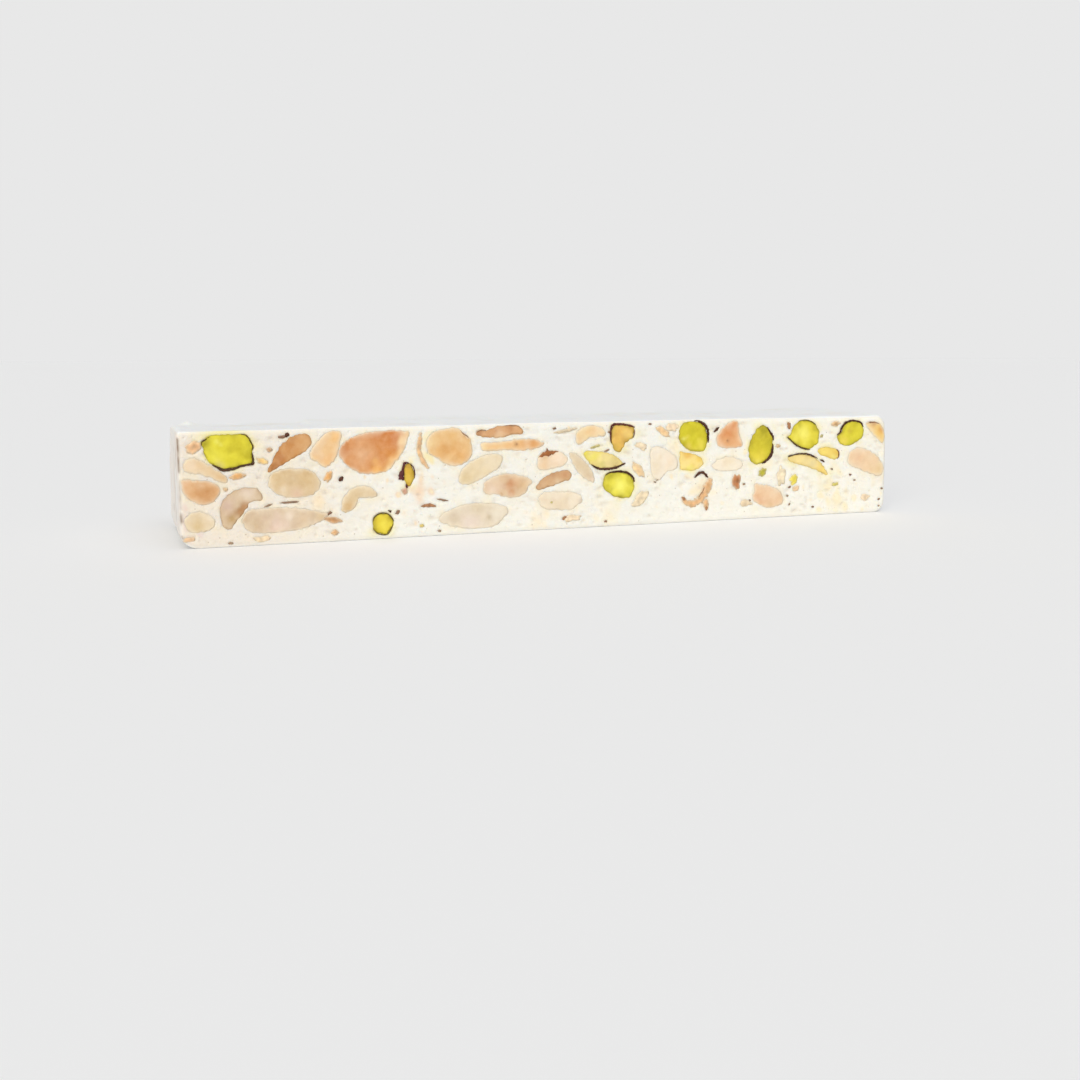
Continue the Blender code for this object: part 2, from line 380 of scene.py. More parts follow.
SECTIONS = {
    "front_almond_01": Section(
        [(-4.4, 4.2), (-4.7, 2.6), (-4.5, 0.8), (-3.5, -0.6), (-1.8, -1.9), (0.4, -2.6),
         (2.9, -1.9), (4.5, 0), (4.7, 1.3), (4, 2.6), (2.1, 3.4), (0, 3.8), (-2.4, 4)],
        "#DEAE7C", [("#CE965E", 1.2, 0.6, 2.4), ("#E6BC94", -3.8, 3.4, 1.6)]),
    "front_almond_02": Section(
        [(-3.8, 0.2), (-3.2, 1.7), (-1.7, 2.6), (0.2, 2.7), (2.4, 1.9), (3.7, 0.5), (3.6, -0.9),
         (2.2, -2.2), (0, -2.6), (-2.1, -2.5), (-3.3, -1.5)],
        "#E3CFAE", [("#DAC294", -0.6, -1, 1.8), ("#EFE2CA", 3, 1, 1.6)]),
    "front_almond_03": Section(
        [(-5, 0.6), (-4.9, 2.2), (-4.2, 3.2), (-2.5, 3.5), (-0.4, 2.7), (1.7, 1.2), (3.8, -0.2),
         (5.4, -1.5), (5.8, -2.5), (5.2, -3.2), (3.7, -2.8), (1.7, -1.9), (-0.8, -0.9),
         (-3.8, -0.3)],
        "#E5C89E", [("#DEBA88", 4.6, -2.2, 1.6), ("#F1DCC0", -3.6, 1.2, 2)]),
    "front_almond_04": Section(
        [(-5.6, -0.8), (-5.2, 1.3), (-4.2, 2.9), (-2.3, 4.4), (0, 5.2), (2.1, 5.4), (4, 5),
         (5, 3.8), (5.2, 2.6), (4.6, 1.8), (3.2, 1.9), (1.9, 1.2), (1.2, 0), (0, -1.5),
         (-1.3, -2.9), (-2.3, -4.2), (-2.8, -5.1), (-4, -5.2), (-5, -4.2), (-5.4, -2.5)],
        "#D7C0A2", [("#B07C44", -0.5, -0.7, 1.3), ("#BD9A60", -2.6, -2.6, 1.2),
                    ("#BC8850", 1.0, 0.7, 1.0), ("#EADACA", 1.5, 4, 1.8),
                    ("#D8BEAE", -3.6, 1, 1.8)], hollow=(-0.5, -0.4, 2.1, 0.4)),
    "front_almond_05": Section(
        [(-11, -0.2), (-10.7, 1.4), (-9.8, 2.6), (-8.2, 3.2), (-5.5, 3.3), (-2, 3.3), (1.5, 3.2),
         (4.2, 2.8), (6.7, 2.3), (8.8, 1.8), (10.6, 1.4), (11, 0.9), (10.3, 0), (9.4, -0.8),
         (7.5, -1.5), (5, -2.4), (1, -3), (-3.5, -3.2), (-7.5, -3.1), (-9.8, -2.2)],
        "#DAC5AC", [("#D0B898", -8, -0.5, 3), ("#EFE2D2", 0.8, 1, 1.2), ("#E6CEC0", -2, -1.6, 2.5),
                    ("#D9C19C", 9, 0.6, 2), ("#DDC6A8", 4.5, -0.4, 1.8)]),
    "front_almond_06": Section(
        [(-5.8, -5), (-5.7, -4), (-4.8, -2.5), (-3.7, -0.4), (-2.5, 1.6), (-0.8, 3.1), (1.3, 4.3),
         (3.3, 4.7), (4.8, 4.4), (5.6, 3.1), (5.4, 1.7), (4.3, 0.4), (2.5, -0.7), (0.8, -1.5),
         (-0.8, -2.5), (-2.5, -3.4), (-4.2, -4.4)],
        "#CF965A", [("#B97436", -3, -1.2, 1.7), ("#B06C2E", -4.8, -3.9, 1.4),
                    ("#D8A66E", 3.4, 2.8, 2.2), ("#DFB482", 4.6, 0.4, 1.5),
                    ("#C68646", 0.2, 2.4, 1.2)]),
    "front_almond_07": Section(
        [(-6.9, 0.2), (-6.5, 2.1), (-5.4, 3.5), (-2.9, 4.3), (0, 4.4), (2.9, 4.1), (5, 3.1),
         (6.2, 1.7), (6.8, 0.2), (6.2, -1.3), (5, -2.4), (3.3, -3), (1.2, -3.3), (-0.8, -3.3),
         (-2.9, -2.9), (-4.8, -2), (-6.2, -0.9)],
        "#D8BE96", [("#EBDAC0", -3, -1, 1.1), ("#E3C4AC", 0.5, -2.6, 1.8),
                    ("#D9BC8E", 3.2, 1.6, 2.4), ("#DEC498", -5, 1.5, 2)]),
    "front_almond_08": Section(
        [(-4.2, -1.2), (-3.5, 0.4), (-2.1, 2.1), (-0.6, 3.7), (0.8, 4.7), (2.7, 5), (4.2, 4.7),
         (4.5, 3.6), (4.1, 2), (3.7, 0), (3.1, -1.7), (2.1, -3.1), (1, -4), (0, -4.6), (-0.9, -4.2),
         (-2.1, -3.1), (-3.5, -2.3)],
        "#EEC793", [("#F3BE74", 3.4, 4, 1.6), ("#F1BC7C", 1, -3.6, 2), ("#EACBA6", -2.6, 0.4, 2)]),
    "front_almond_09": Section(
        [(-4.8, -3.1), (-4.9, -1.3), (-4.2, 0.4), (-2.9, 1.9), (-1.3, 2.9), (0.6, 3.2), (2.5, 3),
         (4, 2.1), (4.8, 0.9), (4.4, 0.1), (2.9, -0.1), (1.3, 0), (-0.3, -0.3), (-0.8, -1.5),
         (-1.4, -2.6), (-2.9, -3.5), (-4.1, -3.9)],
        "#DEC7A0", [("#D8B684", -2.6, -2.2, 1.6), ("#E4D0AE", 1.5, 2.2, 1.8)]),
    "front_almond_10": Section(
        [(-9, -0.3), (-8.5, 1.7), (-7.1, 3.1), (-5, 4.3), (-2.5, 5.1), (0, 5.5), (2.9, 5.7),
         (5.4, 5.8), (7.9, 5.6), (9.7, 5.3), (9.9, 4.4), (9.3, 2.9), (8.9, 1.3), (7.9, -0.4),
         (6.8, -1.9), (5.6, -3.3), (4.6, -4.5), (2.9, -5.3), (0.8, -5.7), (-1.3, -5.7),
         (-3.3, -5.4), (-5, -4.7), (-6.5, -3.7), (-7.9, -2.3)],
        "#D89458", [("#CC7426", 5.6, 3.6, 2.6), ("#CE7C34", 1.6, 4.6, 2.4), ("#C87A38", -7.4, 1.4, 1.7),
                    ("#E4B084", -2.8, -0.6, 2.8), ("#D68A42", 4.2, -0.6, 2.2),
                    ("#EFB25C", 1.0, -4.9, 1.9), ("#F4C884", 4.4, -4.2, 1.8), ("#F3BE72", 6.6, -1.8, 1.5),
                    ("#F9E4BE", 9.6, 2.2, 2.3), ("#F5D6A2", 10.0, 4.8, 1.7),
                    ("#F7D8A4", 8.4, -0.8, 1.5)]),
    "front_almond_11": Section(
        [(-6.8, 0.2), (-6.7, 1.6), (-6.1, 2.8), (-5.2, 3.8), (-4.2, 4.4), (-2.1, 4.8), (-0.2, 5.1),
         (1.3, 5.2), (2.5, 4.7), (3.7, 3.5), (4.7, 2.8), (5.6, 1.8), (6, 0), (6.1, -1.7),
         (5.2, -3.5), (3.7, -4.6), (1.7, -5.2), (0, -5.1), (-2.1, -4.2), (-4.2, -2.7), (-5.7, -1.9)],
        "#E9C188", [("#DDA560", -1.4, -0.6, 2.5), ("#E4AF6C", 2.4, -2, 2.4),
                    ("#F0D29A", -5.8, 1.2, 1.7), ("#E6B874", 1, 4, 1.6), ("#D29C5C", 4.2, 3.2, 0.8)],
        [[(2.6, 4.8, 0.1), (3.6, 3.7, 0.3), (4.7, 3, 0.25), (5.5, 2.1, 0.1)]], "#B07A48"),
    "front_almond_12": Section(
        [(-10.2, -0.5), (-9.2, 0.7), (-7.1, 1.8), (-4.6, 2.8), (-1.7, 3.4), (2.1, 3.4), (5.8, 3),
         (8.3, 2.4), (9.8, 1.4), (9.7, 0.3), (8.6, -0.8), (7.6, -2), (5.8, -3.2), (2.9, -3.6),
         (0, -3.6), (-2.9, -3.4), (-5.4, -2.8), (-7.4, -2.3), (-9.4, -1.5)],
        "#E2D6C3", [("#D5C5AC", -5.6, -0.8, 1.6), ("#C6B596", 4.2, -0.6, 0.8),
                    ("#EBDCD2", -1, -1.8, 2.6), ("#DBCCB0", 1, 2.8, 2.4), ("#EEE6D6", 7, 0.6, 2)]),
    "front_almond_13": Section(
        [(-5.6, -2.6), (-5.4, -1.2), (-4.4, 0.4), (-2.5, 2), (0, 3.2), (2.5, 3.9), (5, 4.1),
         (6.6, 3.5), (6.9, 2.4), (6.4, 0.9), (5.4, -0.3), (3.3, -1.3), (1.3, -2.5), (-0.8, -3.5),
         (-2.9, -4.1), (-4.7, -4), (-5.5, -3.4)],
        "#E9D8B6", [("#E1CCA2", -3.6, -2.2, 2.4), ("#EDDFC4", 4, 2, 2.6)]),
    "front_almond_14": Section(
        [(-6.7, -0.1), (-5.8, 0.6), (-4.2, 0.4), (-2.5, 1), (-0.8, 1.5), (1.3, 1.6), (3.3, 1.6),
         (5.3, 1.4), (6.5, 0.4), (6.7, -0.5), (5.7, -0.9), (4.2, -0.7), (2.5, -1.2), (0, -1.6),
         (-2.5, -1.5), (-5, -1.2), (-6.4, -0.8)],
        "#DDAC7C", [("#C88C5A", 3, 1, 1.4), ("#CF9666", -1, 0.8, 1.6), ("#E8C6A0", 0, -1.2, 1.6),
                    ("#B67E54", -5.8, 0.3, 1)],
        [[(-6.8, 0.2, 0.3), (-5.6, 0.7, 0.25), (-4.2, 0.6, 0.1)],
         [(1, 1.65, 0.1), (3.3, 1.75, 0.3), (5.3, 1.55, 0.25), (6.6, 0.5, 0.12)]], "#B4845E"),
    "front_almond_15": Section(
        [(-6.8, -1.2), (-6.6, 0.4), (-5.4, 1.7), (-3.3, 2.6), (-0.8, 3.1), (1.7, 3), (4.2, 2.3),
         (6.3, 1.7), (7.4, 1), (7.2, 0), (6.3, -0.8), (5.8, -2.1), (4.2, -3.2), (2.1, -3.7),
         (0, -3.5), (-1.7, -2.9), (-3.3, -2.5), (-5.2, -2.5), (-6.4, -2.1)],
        "#DDC09E", [("#C58352", 1.2, 0.3, 1.5), ("#CE9468", 1.2, -1.9, 1.1), ("#DDB48A", 3.2, 1.6, 1.6),
                    ("#ECD6C2", -4.2, -1.2, 2.2), ("#DDBE96", 5.8, -0.4, 1.8),
                    ("#C79C70", -1.6, -2.6, 0.6)]),
    "front_almond_16": Section(
        [(-9.4, -0.2), (-9.3, 0.8), (-7.9, 1), (-4.2, 1), (-0.5, 1.4), (3.3, 1.6), (5.8, 1.4),
         (7.9, 0.8), (9, 0.2), (7.9, -0.8), (5.8, -1.4), (3.3, -1.6), (0.8, -1.6), (-2.1, -1.3),
         (-6.2, -1.5), (-8.3, -1.3), (-9.2, -0.9)],
        "#EDBE84", [("#DD9E5B", 5.6, 0.2, 2.6), ("#A8703E", 0.9, 0.2, 0.55),
                    ("#F7DBA4", -8.8, 0, 1.8), ("#F1C586", -4, 0, 2.4)]),
    "front_almond_17": Section(
        [(-5.4, -1.9), (-4.6, -0.6), (-2.9, 0.8), (-0.8, 1.8), (1.3, 2.4), (3.3, 2.6), (4.7, 2),
         (5.1, 0.8), (4.6, -0.2), (2.9, -0.6), (0.8, -1.2), (-0.6, -1.8), (-2.2, -2), (-3.3, -2.5),
         (-4.6, -2.7)],
        "#D6AE84", [("#C19066", -0.6, 1.6, 1.6), ("#CC986C", 3.2, 1.6, 1.3),
                    ("#E6CCAA", 1, -0.8, 1.1), ("#C69C74", -4.6, -1.6, 1.2)]),
    "front_almond_18": Section(
        [(-4.3, -0.2), (-4, 0.9), (-3.2, 1.8), (-1.5, 2.3), (0.5, 2.4), (2.1, 2.3), (3.6, 1.7),
         (4.5, 0.5), (4.4, -0.9), (3.2, -1.8), (1.2, -2.3), (-0.8, -2.7), (-2.9, -2.8), (-4, -2.5),
         (-4.3, -1.4)],
        "#F0D9BE", [("#E4C298", -2, 0.6, 1.3), ("#EBC89C", -2.6, -2.4, 1.4),
                    ("#F7E4CE", 2.4, 0.2, 1.8)],
        [[(-4.1, 0.6, 0.3), (-3, 1.3, 1.2), (-1.4, 1.9, 1.5), (0.2, 2.2, 1), (2, 2.35, 0.15)],
         [(-1.6, 2.2, 0.7), (-1.5, 2.8, 0.5), (-1.5, 3.4, 0.15)]], "#B06C38"),
    "front_almond_19": Section(
        [(-6.6, 0.9), (-5.8, 2), (-4, 2.7), (-0.5, 2.6), (3.2, 2.4), (5.6, 1.7), (6.6, 0.6),
         (6.3, -0.9), (5, -1.5), (3.3, -2.6), (0, -2.6), (-4, -2.2), (-5.9, -0.9)],
        "#EFE3CF", [("#E6D5BA", 0, -1.4, 2.6), ("#D6C6B8", 6.2, 0, 0.8), ("#EADBC2", -5, 0.8, 2)]),
    "front_almond_20": Section(
        [(-3.6, 4.3), (-3.7, 3.4), (-3.1, 2.1), (-2.1, 0.2), (-0.8, -1.5), (0.8, -3), (2.4, -3.9),
         (3.4, -4.2), (3.9, -3.3), (3.4, -1.7), (2.5, 0), (1, 1.7), (-0.4, 3), (-2, 4.2)],
        "#DECBAC", [("#D6C0A0", 2.2, -2.6, 1.4), ("#E6CDBA", 3.2, -3.4, 1)]),
    "front_almond_21": Section(
        [(-5, -0.9), (-4.5, 0.8), (-3.3, 1.8), (-1.3, 2.5), (1.2, 2.4), (3.2, 1.6), (4.1, 0.4),
         (3.8, -0.5), (2.5, -0.6), (0, -0.8), (-1.8, -1.5), (-2.7, -2.4), (-3.7, -2.8),
         (-4.6, -2.4)],
        "#F0D4A0", [("#E6BC80", -3.6, -1.6, 1.2), ("#EFCB98", 0.4, 1.6, 1.8), ("#F7DDB4", 3, 0.6, 1)]),
    "front_almond_22": Section(
        [(-4, 0.4), (-4.1, 2.5), (-3.4, 4.1), (-2.1, 4.7), (0, 4.2), (2.1, 3.1), (4, 1.7), (4.9, 0),
         (4.6, -1.7), (3.2, -2.5), (1.8, -2.7), (0.6, -3.8), (-0.8, -5), (-2.6, -4.7), (-3.6, -2.6)],
        "#F4EADA", [("#EDDFC6", -2.4, -1, 2.4), ("#F4E3CC", 2.5, 0.5, 2)]),
    "front_almond_23": Section(
        [(-5.2, -0.4), (-4.2, 0.8), (-2.1, 1.8), (0.4, 2.3), (2.5, 1.8), (4.2, 1), (5, -0.2),
         (4.2, -1.5), (1.7, -2), (-1.7, -2), (-4.2, -1.5)],
        "#F6ECDA", [("#F0E1C6", 0, 1.4, 2.2)]),
    "front_almond_24": Section(
        [(-4.4, -0.3), (-3.1, 1.5), (-1.7, 2.9), (0, 4), (1.2, 4.3), (2.4, 4.1), (2.8, 2.8),
         (3.1, 0.8), (3.7, -0.8), (4.3, -2.2), (3.9, -3.3), (1.7, -3.7), (-1.3, -3.6), (-3.4, -3.2),
         (-4.2, -2)],
        "#E3A770", [("#E09256", 1.2, 2.4, 1.8), ("#DC925A", -1.4, 0.6, 1.8),
                    ("#965428", -0.8, -1.5, 0.45), ("#EFBE8E", 3.8, -1.6, 1.6),
                    ("#EDB98C", -3.8, -2, 1.2)]),
    "front_almond_25": Section(
        [(-4.6, 3.7), (-2.5, 3.4), (0, 3), (2.1, 2.2), (3.9, 1.2), (4.8, 0), (5, -1.3), (5, -2.6),
         (3.3, -3.4), (1.2, -3.8), (-0.4, -3.7), (-2.1, -3.1), (-3.8, -2.2), (-5.3, -1),
         (-4.9, 0.5), (-4.7, 2.1)],
        "#EBC6A0", [("#E6B893", -3, -1.6, 1.8), ("#EFD2B2", 1.5, 0.8, 2.4),
                    ("#DFBC92", 1, -3, 1.2)]),
    "front_almond_26": Section(
        [(-6.4, 0.6), (-6.2, 2.4), (-5, 4), (-2.9, 4.5), (-0.8, 4.2), (1.7, 3.2), (3.7, 2),
         (5.2, 0.4), (6.2, -1.3), (6.4, -2.9), (5.6, -4.2), (4.5, -4.5), (2.5, -4), (0, -3.1),
         (-2.1, -2.2), (-4.2, -1.4), (-5.8, -0.6)],
        "#F0D3AE", [("#ECC9A6", -2.6, 1.6, 2.8), ("#E8CC9C", 4.8, -2.6, 2.2)]),
    "front_almond_27": Section(
        [(-3.4, 2.8), (-2.1, 3.1), (0, 3), (1.6, 2.4), (2.7, 1.4), (3.3, 0), (3.5, -1.6), (3.3, -3),
         (2.5, -3.4), (1.4, -2.7), (0, -1.3), (-1.8, 0.3), (-3, 1.6)],
        "#F3CE7A", [("#C07E38", -0.6, 2.8, 0.9), ("#DFA254", 2, 0.8, 1.2), ("#F6D79C", -1, 0.2, 1)],
        [[(-3.3, 2.7, 0.15), (-2, 3.1, 0.4), (0, 3, 0.35), (1.5, 2.5, 0.12)]], "#9A6032"),
}
print(len(SECTIONS), "almond sections drawn")

# %% [markdown]
# ## Pistachio sections
#
# A pistachio is green right through and brightest in the middle. Its skin is thin and purple
# brown, and the knife shows it as a dark line along part of the edge. The blots are the brighter
# heart and the darker green by the skin, and a pale one has lost most of its green.

# %% The sections of the front pistachios
SECTIONS |= {
    "front_pistachio_01": Section(
        [(-6.6, 2.4), (-5.6, 3.1), (-4.6, 3.9), (-3.1, 4.3), (0, 4.4), (3.3, 4.4), (4.9, 4),
         (5.7, 2.9), (6.5, 1.1), (6.1, -0.3), (6.1, -2.1), (5.9, -3.2), (4.6, -3.5), (3.2, -3.7),
         (1.5, -4.2), (-1.2, -4.5), (-2.7, -3.9), (-4.2, -3.1), (-5.1, -2.3), (-5.6, -0.8),
         (-5.9, 0.6), (-6.4, 1.7)],
        "#E2D63A", [("#A89A1E", -5.6, 2.2, 1.1), ("#E8DE4E", -3, -1, 2.2), ("#CDBF2A", 2.4, 1.2, 2.4),
                    ("#E9DA84", -2, -3.6, 1), ("#F2EC74", -2.6, 2.6, 0.5), ("#F2EC74", -1.6, 1.8, 0.4),
                    ("#C2B424", 4.8, -1.4, 1.6)],
        [[(-4.2, -3.4, 0.2), (-3, -4.1, 0.4), (-1.2, -4.9, 0.8), (1.6, -4.6, 0.55), (3.3, -4, 0.5),
          (5.5, -3.6, 0.55), (6.4, -3.4, 0.6), (6.5, -2, 0.4), (6.3, -0.4, 0.12)],
         [(6.4, 0.2, 0.12), (6.6, 1.1, 0.3), (5.9, 2.7, 0.25), (5, 4.1, 0.3), (3.6, 4.6, 0.1)],
         [(-6.7, 2, 0.15), (-6.4, 2.8, 0.4), (-5.4, 3.4, 0.25), (-4.6, 4, 0.1)]], "#453420"),
    "front_pistachio_02": Section(
        [(-2.8, 0), (-2.6, 1.2), (-1.7, 2.2), (-0.2, 2.6), (1.3, 2.3), (2.4, 1.3), (3, -0.1),
         (2.3, -1.5), (1.5, -2.4), (1.1, -3.1), (0, -3.2), (-0.7, -2.8), (-1.8, -2.6), (-2.6, -1.7)],
        "#E9D342", [("#F6E55A", 0.2, -0.2, 1.3), ("#BFA026", -2.3, 1.4, 0.8),
                    ("#CDB232", 1.8, 1.6, 0.8), ("#A8962A", -2.4, -1.6, 0.7)],
        [[(-2.9, 0.6, 0.12), (-2.4, 1.8, 0.3), (-1, 2.7, 0.3), (0.8, 2.7, 0.25), (2.2, 1.8, 0.3),
          (3, 0.4, 0.2)],
         [(2.8, -0.4, 0.12), (2.2, -1.9, 0.3), (1.3, -3.1, 0.3), (0, -3.4, 0.2), (-1.8, -2.8, 0.25),
          (-2.8, -1.6, 0.12)]], "#6E6430"),
    "front_pistachio_03": Section(
        [(-1, 0), (-1.1, 1.3), (-0.6, 2.5), (0.4, 3.1), (1.3, 2.3), (1.9, 0.6), (1.9, -0.8),
         (1.3, -2.3), (0.4, -3.1), (-0.4, -2.6), (-0.9, -1.5)],
        "#DCAE46", [("#EAC65C", 0.3, -0.8, 0.9), ("#C0903E", 0.2, 2.4, 0.9)],
        [[(0.5, 3.3, 0.15), (-0.6, 3.4, 0.6), (-1.1, 2.4, 0.6), (-1.4, 1.2, 0.8), (-1.8, 0.2, 1.6),
          (-1.7, -0.8, 1.5), (-1.2, -1.5, 0.4)],
         [(0.8, 3.1, 0.1), (1.7, 2.1, 0.25), (2.1, 0.4, 0.2), (1.9, -1, 0.08)],
         [(-0.4, -2.6, 0.2), (-0.3, -3.2, 0.6), (-0.2, -3.8, 0.2)]], "#5A2232"),
    "front_pistachio_04": Section(
        [(-6.6, 1.8), (-5.8, 2.4), (-4.2, 2.5), (-2.1, 2.2), (0.4, 1.8), (2.5, 1), (4.2, -0.1),
         (5.2, -1.2), (5.6, -1.7), (3.3, -2.3), (0, -2.6), (-2.5, -2.4), (-4.2, -1.5), (-5.4, -0.4),
         (-6.2, 0.7)],
        "#F0DCA2", [("#E2D644", -6.2, 1.8, 1.5), ("#F0E272", -3.4, 0.8, 1.8), ("#DCC994", 3, -1.4, 2),
                    ("#D9CB8A", -1, -2, 1.2)],
        [[(-4.6, -1.5, 0.15), (-2.5, -2.7, 0.65), (0, -2.95, 0.7), (3, -2.7, 0.6), (5, -1.9, 0.6),
          (6.3, -1.4, 0.25)]]),
    "front_pistachio_05": Section(
        [(-5, -0.1), (-4.9, 2), (-3.9, 3.4), (-2.1, 3.8), (0, 3.7), (2.1, 3.2), (3.6, 2.2),
         (4.4, 0.9), (4.6, -0.8), (4.1, -2.4), (3.3, -3.5), (1.7, -3.8), (0, -3.7), (-1.7, -3.1),
         (-3.3, -2.1), (-4.5, -1.1)],
        "#EBE052", [("#FCF880", 0.2, -0.2, 1.9), ("#D2C63A", 3.4, 1.4, 1.3), ("#CBC034", -3.8, -0.2, 1.2),
                    ("#94881C", 0.2, -3.7, 0.8), ("#BEB22C", -3, 2.8, 1.2), ("#D6CB40", 2.8, -2.4, 1)],
        [[(-4.6, 3, 0.12), (-3.4, 3.8, 0.35), (-1.5, 4.05, 0.5), (0, 4.1, 0.55), (2.5, 3.6, 0.6),
          (4.2, 2.2, 0.55), (4.8, 0.8, 0.2)]]),
    "front_pistachio_06": Section(
        [(-3.5, -0.8), (-3.4, 1.6), (-2.9, 3.1), (-1.8, 3.6), (0, 3.5), (2.4, 3.1), (3.5, 2.6),
         (3.6, 1.2), (3.2, -0.2), (2.1, -0.9), (0.9, -1.7), (0.2, -2.9), (-0.6, -4), (-1.7, -4.2),
         (-2.6, -3.6), (-3.2, -2.3)],
        "#E6B664", [("#F0CC80", 1.6, 1.4, 1.6), ("#EBC263", -1.6, -2.6, 1.2), ("#C8923C", 3.6, 2, 0.6)],
        [[(-3.6, -1.6, 0.12), (-3.8, -0.3, 0.45), (-3.8, 1.8, 0.5), (-3.4, 3.5, 0.7), (-2, 4, 0.65),
          (0, 3.9, 0.55), (2.5, 3.45, 0.5), (3.9, 2.9, 0.25)],
         [(3.8, 2.2, 0.1), (3.8, 1, 0.2), (3.4, -0.2, 0.08)]], "#66302C"),
    "front_pistachio_07": Section(
        [(-3.8, 3.2), (-2, 3), (0, 2.6), (2.1, 1.9), (3.4, 0.7), (3.7, -0.6), (2.5, -1.7),
         (0.4, -2.4), (-1.7, -2.3), (-3.6, -1.9), (-3.9, 0), (-3.9, 1.8)],
        "#FBE29C", [("#F0B85A", -1.4, 2.6, 1.5), ("#F5CE68", 2.2, 1.0, 1.3), ("#F4E684", -1.2, -1.9, 1.1)]),
    "front_pistachio_08": Section(
        [(-4.7, 0), (-4.5, 2.1), (-3.7, 3.8), (-2.1, 4.4), (0, 4.5), (2, 4), (3.5, 2.7), (4.2, 1.2),
         (4.5, -0.8), (4.3, -2.5), (3.6, -4), (2.1, -4.4), (0, -4.2), (-2.1, -3.5), (-3.5, -2.5),
         (-4.4, -1.3)],
        "#D6CA2E", [("#CCBF26", 0.5, 1.8, 2.2), ("#ECDC58", 2.4, -2.8, 1.5), ("#E6CC60", -1.8, -3, 1.1),
                    ("#F6F088", -3.4, -0.6, 0.45)],
        [[(0, 4.8, 0.15), (1.2, 4.8, 0.5), (2.8, 4.1, 0.7), (4.2, 2.9, 0.75), (4.8, 1.2, 0.7),
          (4.9, -0.4, 0.6), (5, -1.9, 0.2)]]),
    "front_pistachio_09": Section(
        [(-4.4, -2), (-4.3, 0), (-3.5, 2.1), (-2.3, 4.1), (-1.1, 5.4), (0.4, 5.7), (1.8, 4.9),
         (2.7, 3.4), (3.5, 2), (3.6, 0.4), (3.3, -1), (2.9, -2.5), (1.8, -4.2), (0, -5.4),
         (-1.7, -5.9), (-3.3, -5.1), (-4.2, -3.7)],
        "#D0C130", [("#A2961E", 0.4, 4.4, 1.8), ("#BDAF28", 1.8, 0.8, 1.6), ("#EBD74C", -1.4, -3.6, 2.2),
                    ("#F0E06C", -1.4, -5, 1)],
        [[(1.6, 5.4, 0.12), (2.5, 4, 0.6), (3.6, 2.5, 0.6), (3.9, 1.2, 0.2)],
         [(3.6, 0.2, 0.2), (3.7, -1.2, 0.7), (3.3, -2.8, 0.85), (2.3, -4.3, 0.8), (1, -5.4, 0.5),
          (0, -5.9, 0.2)]]),
    "front_pistachio_10": Section(
        [(-5.6, -0.4), (-4.6, 0.4), (-4.1, 1.7), (-3.4, 3), (-2.1, 4.1), (0, 4.5), (2.1, 4.2),
         (4, 3.2), (5, 1.7), (5.4, 0.4), (5.2, -1.2), (5.2, -2.4), (4.1, -3.2), (2.1, -4.3),
         (0, -3.9), (-1.7, -3.2), (-3.3, -2.2), (-4.6, -1.2)],
        "#E9DA46", [("#FCF37C", -0.4, 0.4, 2.3), ("#C2B42A", 3.8, 2.4, 1.4), ("#CDBE30", 3, -2.6, 1.4),
                    ("#C8BA2E", -1.8, 3.6, 1)],
        [[(-6.2, -0.4, 0.15), (-4.8, -1.4, 0.35), (-2.8, -3, 0.4), (-0.6, -4, 0.4), (1, -4.4, 0.4),
          (2.4, -4.6, 0.15)],
         [(-1.8, 4.5, 0.08), (0.2, 4.8, 0.2), (2.4, 4.4, 0.18), (4.2, 3.3, 0.1)]], "#54462A"),
    "front_pistachio_11": Section(
        [(-6.9, 2.6), (-5.6, 3), (-2.9, 3.3), (-0.8, 3.1), (1.3, 2.5), (3.2, 1.5), (4.8, 0.2),
         (6, -1.4), (7.1, -3.2), (6.5, -3.5), (4.9, -2.6), (2.5, -1.6), (0, -0.7), (-2.5, 0),
         (-4.9, 0.7), (-6.5, 1.3)],
        "#F7DEA2", [("#F8D676", 5.4, -1.2, 2), ("#F1DA9C", -4.8, 2.4, 1.4), ("#E9D8AC", 1, 0.2, 1.6)],
        [[(-7.2, 2.8, 0.4), (-5.4, 3.3, 0.3), (-3, 3.6, 0.4), (0, 3.3, 0.45), (2, 2.6, 0.45),
          (3.5, 1.9, 0.15)],
         [(4.5, 1.5, 0.15), (5.3, 1.1, 0.6), (6.1, 0.6, 0.15)]]),
    "front_pistachio_12": Section(
        [(-4, 0.5), (-2.9, 1.5), (-0.8, 1.7), (1.2, 1.5), (2.8, 0.9), (3.6, -0.2), (3.5, -1.4),
         (2.3, -2.2), (1.2, -2), (-0.4, -1.4), (-2.1, -0.8), (-3.4, -0.2)],
        "#F6DA7C", [("#E7BC54", 2.7, 0.2, 1.1), ("#F2E28E", 1.6, -1.6, 0.8)],
        [[(2.9, 1, 0.1), (3.6, 0.1, 0.4), (3.7, -1.2, 0.3), (3.2, -1.9, 0.1)]], "#8A5236"),
    "front_pistachio_13": Section(
        [(-4.6, -1), (-4.5, -2.1), (-3.4, -3.4), (-1.7, -4), (0.4, -3.8), (2.1, -2.9), (3.7, -2),
         (4.5, -0.6), (4.5, 0.8), (3.9, 2.3), (2.8, 3.2), (0, 3.4), (-1.9, 2.7), (-2.8, 1.6),
         (-3.2, 0.3), (-4, -0.4)],
        "#E0D43C", [("#CCBE2A", 0.8, 2.4, 1.4), ("#EAD35A", -2.8, -2.6, 1.6), ("#CDB83E", -0.6, 0.4, 0.8)],
        [[(-5, -0.7, 0.25), (-3.9, 0.2, 0.5), (-3.4, 1.6, 0.65), (-2.4, 2.9, 0.7), (-1, 3.6, 0.6),
          (0.6, 3.8, 0.6), (2.5, 3.5, 0.55), (3.8, 2.8, 0.5), (4.5, 1.7, 0.2)]]),
}
print(len(SECTIONS), "sections drawn in all")

